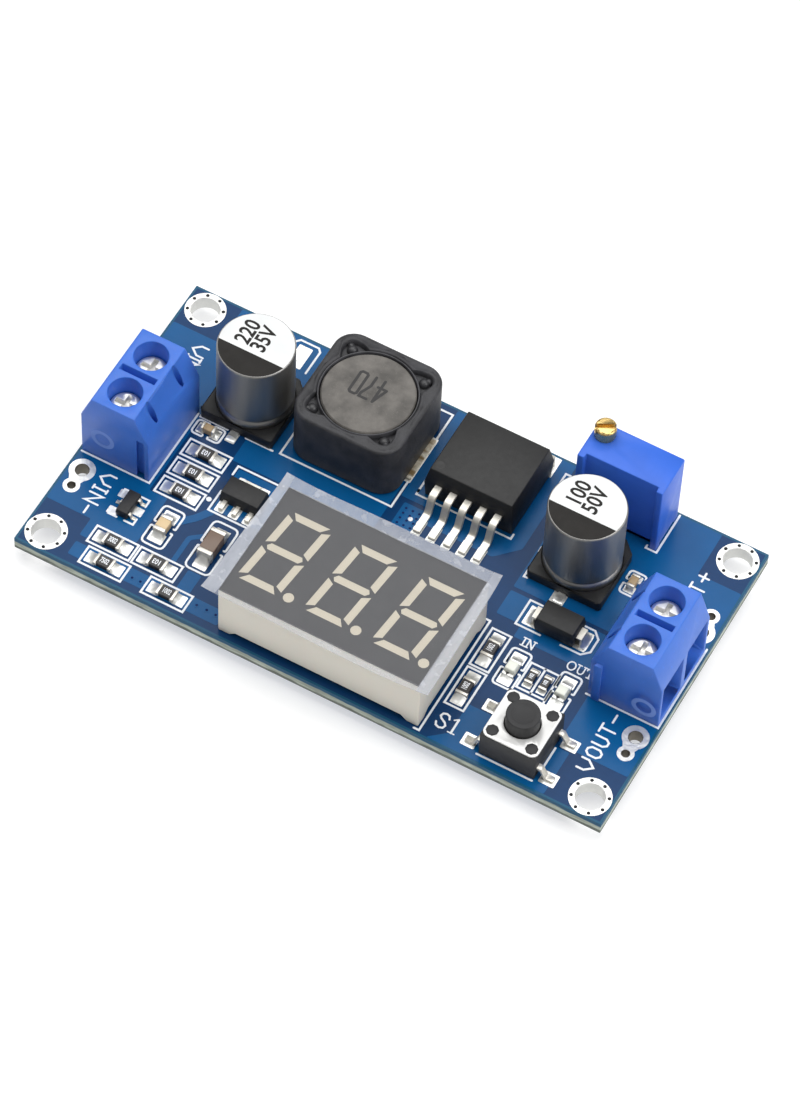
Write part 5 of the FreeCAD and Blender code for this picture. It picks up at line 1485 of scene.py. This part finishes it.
class DressSmallParts(Operator):
    """Rectifier, regulator, transistor, resistors, ceramic capacitors, lamps and the chip under the board"""

    bl_idname = "converter.dress_small_parts"
    bl_label = "Small parts"

    def execute(self, context):
        looks = context.scene.small_part_looks
        for name in ("rectifier", "regulator", "transistor", "meter_chip"):
            dressed(f"{name}_body", moulding(), 0.06, 2)
            dressed(f"{name}_leads", leadframe(), 0.03, 1)
        glaze = moulded("glaze", looks.resistor, 0.35, grain=0.15, spread=0.2)
        for name in ("resistor", "small_resistor"):
            dressed(f"{name}_bodies", glaze, 0.03, 1)
            dressed(f"{name}_ends", leadframe(), 0.04, 2)
        ceramics = (("large", from_screen(124, 104, 90)), ("medium", from_screen(216, 190, 146)),
                    ("small", looks.ceramic))
        for name, colour in ceramics:
            fired = moulded(f"{name} ceramic", colour, 0.4, grain=0.2, spread=0.12)
            dressed(f"{name}_ceramic_bodies", fired, 0.05, 2)
            dressed(f"{name}_ceramic_ends", leadframe(), 0.06, 2)
        coat("lamp_carriers", moulded("lamp carrier", from_screen(214, 214, 200), 0.5))
        resin = moulded("lamp resin", looks.lamp, 0.3, grain=0.4, spread=0.04)
        dressed("lamp_lenses", resin, 0.08, 2)
        dressed("lamp_ends", tin(), 0.04, 1)
        self.codes(glaze)
        spots = [((x - 0.1, y - 0.74, 1.958), -90, (0.26, 0.26, 0.012)) for x, y in LAMPS]
        repeated("lamp_arrows", disc_tree(), spots, glaze, "lamp_plastic", sides=3)
        return {"FINISHED"}

    def codes(self, glaze):
        """The dark coat on each resistor, which laps over its ends, and the value printed on it."""
        coats = [((x, y, 2.09), 0, (1.5, 1.22, 0.06)) for x, y in LYING_RESISTORS]
        coats += [((x, y, 2.09), 90, (1.5, 1.22, 0.06)) for x, y in UPRIGHT_RESISTORS]
        coats += [((x, y, 2.04), 90, (1.12, 0.8, 0.05)) for x, y in SMALL_PAIR]
        repeated("resistor_coats", block_tree(), coats, glaze, "resistor_ceramic", draw=0.94)
        marks = [(text, 0.84, (x, y, 2.152), 180 if text == "103" else 0)
                 for text, (x, y) in zip(CODES, LYING_RESISTORS)]
        marks += [("1002", 0.84, (x, y, 2.152), 90) for x, y in UPRIGHT_RESISTORS]
        marks += [("102", 0.54, (x, y, 2.092), 90) for x, y in SMALL_PAIR]
        for index, (text, size, spot, turn) in enumerate(marks):
            stretch = 0.56 if len(text) > 3 else 0.76
            numbers(f"code_{index}", text, size, *spot, turn, print_ink(), "resistor_ceramic", stretch, 0.02)


class SetStage(Operator):
    """Floor, soft lights, pale surroundings and the camera"""

    bl_idname = "converter.set_stage"
    bl_label = "Stage"

    def execute(self, context):
        looks = context.scene.stage_looks
        low = CAD_BOX[0][2] / MM
        bm = bmesh.new()
        prism(bm, box_loop(-900, -900, 900, 900), low - 4.02, low - 0.02)
        bmesh.ops.recalc_face_normals(bm, faces=bm.faces)
        mesh = bpy.data.meshes.new("floor")
        bm.to_mesh(mesh)
        bm.free()
        mesh.transform(Matrix.Scale(MM, 4))
        finish = Finish("floor paper")
        colour = tuple(looks.floor)
        tone = finish.mix(finish.noise(30, 2.0), darker(colour, 0.58), darker(colour, 0.6))
        paper = finish.show(base_color=tone, roughness=finish.noise(8.0) * 0.1 + 0.6, emission_color=colour)
        finish.shader.inputs["Emission Strength"].default_value = 0.58
        linked("floor", mesh, paper)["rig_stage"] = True
        self.soft_box("key", (-0.12, 0.16, 0.62), (0.75, 0.6), looks.key_power)
        self.soft_box("left side", (-0.55, -0.1, 0.3), (0.25, 0.5), looks.side_power * 0.4)
        self.soft_box("right side", (0.45, 0.05, 0.4), (0.3, 0.5), looks.side_power * 3.4)
        self.surroundings(context)
        self.camera(context, looks)
        context.scene.view_settings.view_transform = "Standard"
        return {"FINISHED"}

    def soft_box(self, name, place, size, power):
        """A soft box in metres that faces the origin."""
        light = bpy.data.lights.new(name, "AREA")
        light.shape = "RECTANGLE"
        light.size, light.size_y = size
        light.energy = power
        lamp = bpy.data.objects.new(name, light)
        way = -Vector(place)
        lamp.matrix_world = Matrix.Translation(place) @ way.to_track_quat("-Z", "Y").to_matrix().to_4x4()
        bpy.context.scene.collection.objects.link(lamp)

    def surroundings(self, context):
        world = bpy.data.worlds.new("pale room")
        world.use_nodes = True
        tree = world.node_tree
        background = tree.nodes["Background"]
        background.inputs["Color"].default_value = (1.0, 1.0, 1.0, 1.0)
        split = tree.nodes.new("ShaderNodeSeparateXYZ")
        tree.links.new(tree.nodes.new("ShaderNodeTexCoord").outputs["Generated"], split.inputs[0])
        rise = tree.nodes.new("ShaderNodeMapRange")
        tree.links.new(split.outputs["Z"], rise.inputs["Value"])
        rise.inputs["To Min"].default_value, rise.inputs["To Max"].default_value = 0.17, 0.62
        tree.links.new(rise.outputs[0], background.inputs["Strength"])
        context.scene.world = world

    def camera(self, context, looks):
        """The photograph's own viewpoint: azimuth, elevation and roll in degrees, distances in metres."""
        azimuth, elevation, roll = (math.radians(value) for value in (26.373, 56.527, 3.156))
        distance, aside, above = 0.519245, -0.00078, 0.000664
        look = Vector((-math.sin(azimuth) * math.cos(elevation), math.cos(azimuth) * math.cos(elevation),
                       -math.sin(elevation)))
        level = Vector((math.cos(azimuth), math.sin(azimuth), 0))
        rise = level.cross(look)
        right = level * math.cos(roll) + rise * math.sin(roll)
        up = rise * math.cos(roll) - level * math.sin(roll)
        place = Vector((0, 0, BOARD_TOP * MM)) - right * aside - up * above - look * distance
        data = bpy.data.cameras.new("camera")
        data.sensor_fit = "VERTICAL"
        data.sensor_height = 36
        data.lens = looks.lens
        data.clip_end = 10
        eye = bpy.data.objects.new("camera", data)
        eye.matrix_world = Matrix.Translation(place) @ Matrix((right, up, -look)).transposed().to_4x4()
        context.scene.collection.objects.link(eye)
        context.scene.camera = eye


OPERATORS = (DressBoard, DressPads, DressPrint, DressTerminals, DressCapacitors, DressInductor,
             DressConverter, DressTrimmer, DressDisplay, DressSwitch, DressSmallParts, SetStage)


class ConverterBoardPanel(Panel):
    """The pieces of the board, each with its own button"""

    bl_idname = "VIEW3D_PT_converter_board"
    bl_label = "Converter board"
    bl_space_type = "VIEW_3D"
    bl_region_type = "UI"
    bl_category = "Converter board"

    def draw(self, context):
        for name, group in SETTINGS.items():
            column = self.layout.column(heading=name.replace("_", " "))
            for setting in group.__annotations__:
                column.prop(getattr(context.scene, name), setting)
        for operator in OPERATORS:
            self.layout.operator(operator.bl_idname)


def register():
    for group in (*SETTINGS.values(), *OPERATORS, ConverterBoardPanel):
        bpy.utils.register_class(group)
    for name, group in SETTINGS.items():
        setattr(bpy.types.Scene, name, PointerProperty(type=group))


def unregister():
    for name in SETTINGS:
        delattr(bpy.types.Scene, name)
    for group in (ConverterBoardPanel, *reversed(OPERATORS), *reversed(SETTINGS.values())):
        bpy.utils.unregister_class(group)


def main():
    register()
    bpy.ops.converter.dress_board()
    bpy.ops.converter.dress_pads()
    bpy.ops.converter.dress_print()
    bpy.ops.converter.dress_terminals()
    bpy.ops.converter.dress_capacitors()
    bpy.ops.converter.dress_inductor()
    bpy.ops.converter.dress_converter()
    bpy.ops.converter.dress_trimmer()
    bpy.ops.converter.dress_display()
    bpy.ops.converter.dress_switch()
    bpy.ops.converter.dress_small_parts()
    bpy.ops.converter.set_stage()
    boxes = {"cad": CAD_BOX, "visual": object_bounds()}
    plain = {name: [[float(value) for value in corner] for corner in box] for name, box in boxes.items()}


if __name__ == "__main__":
    main()
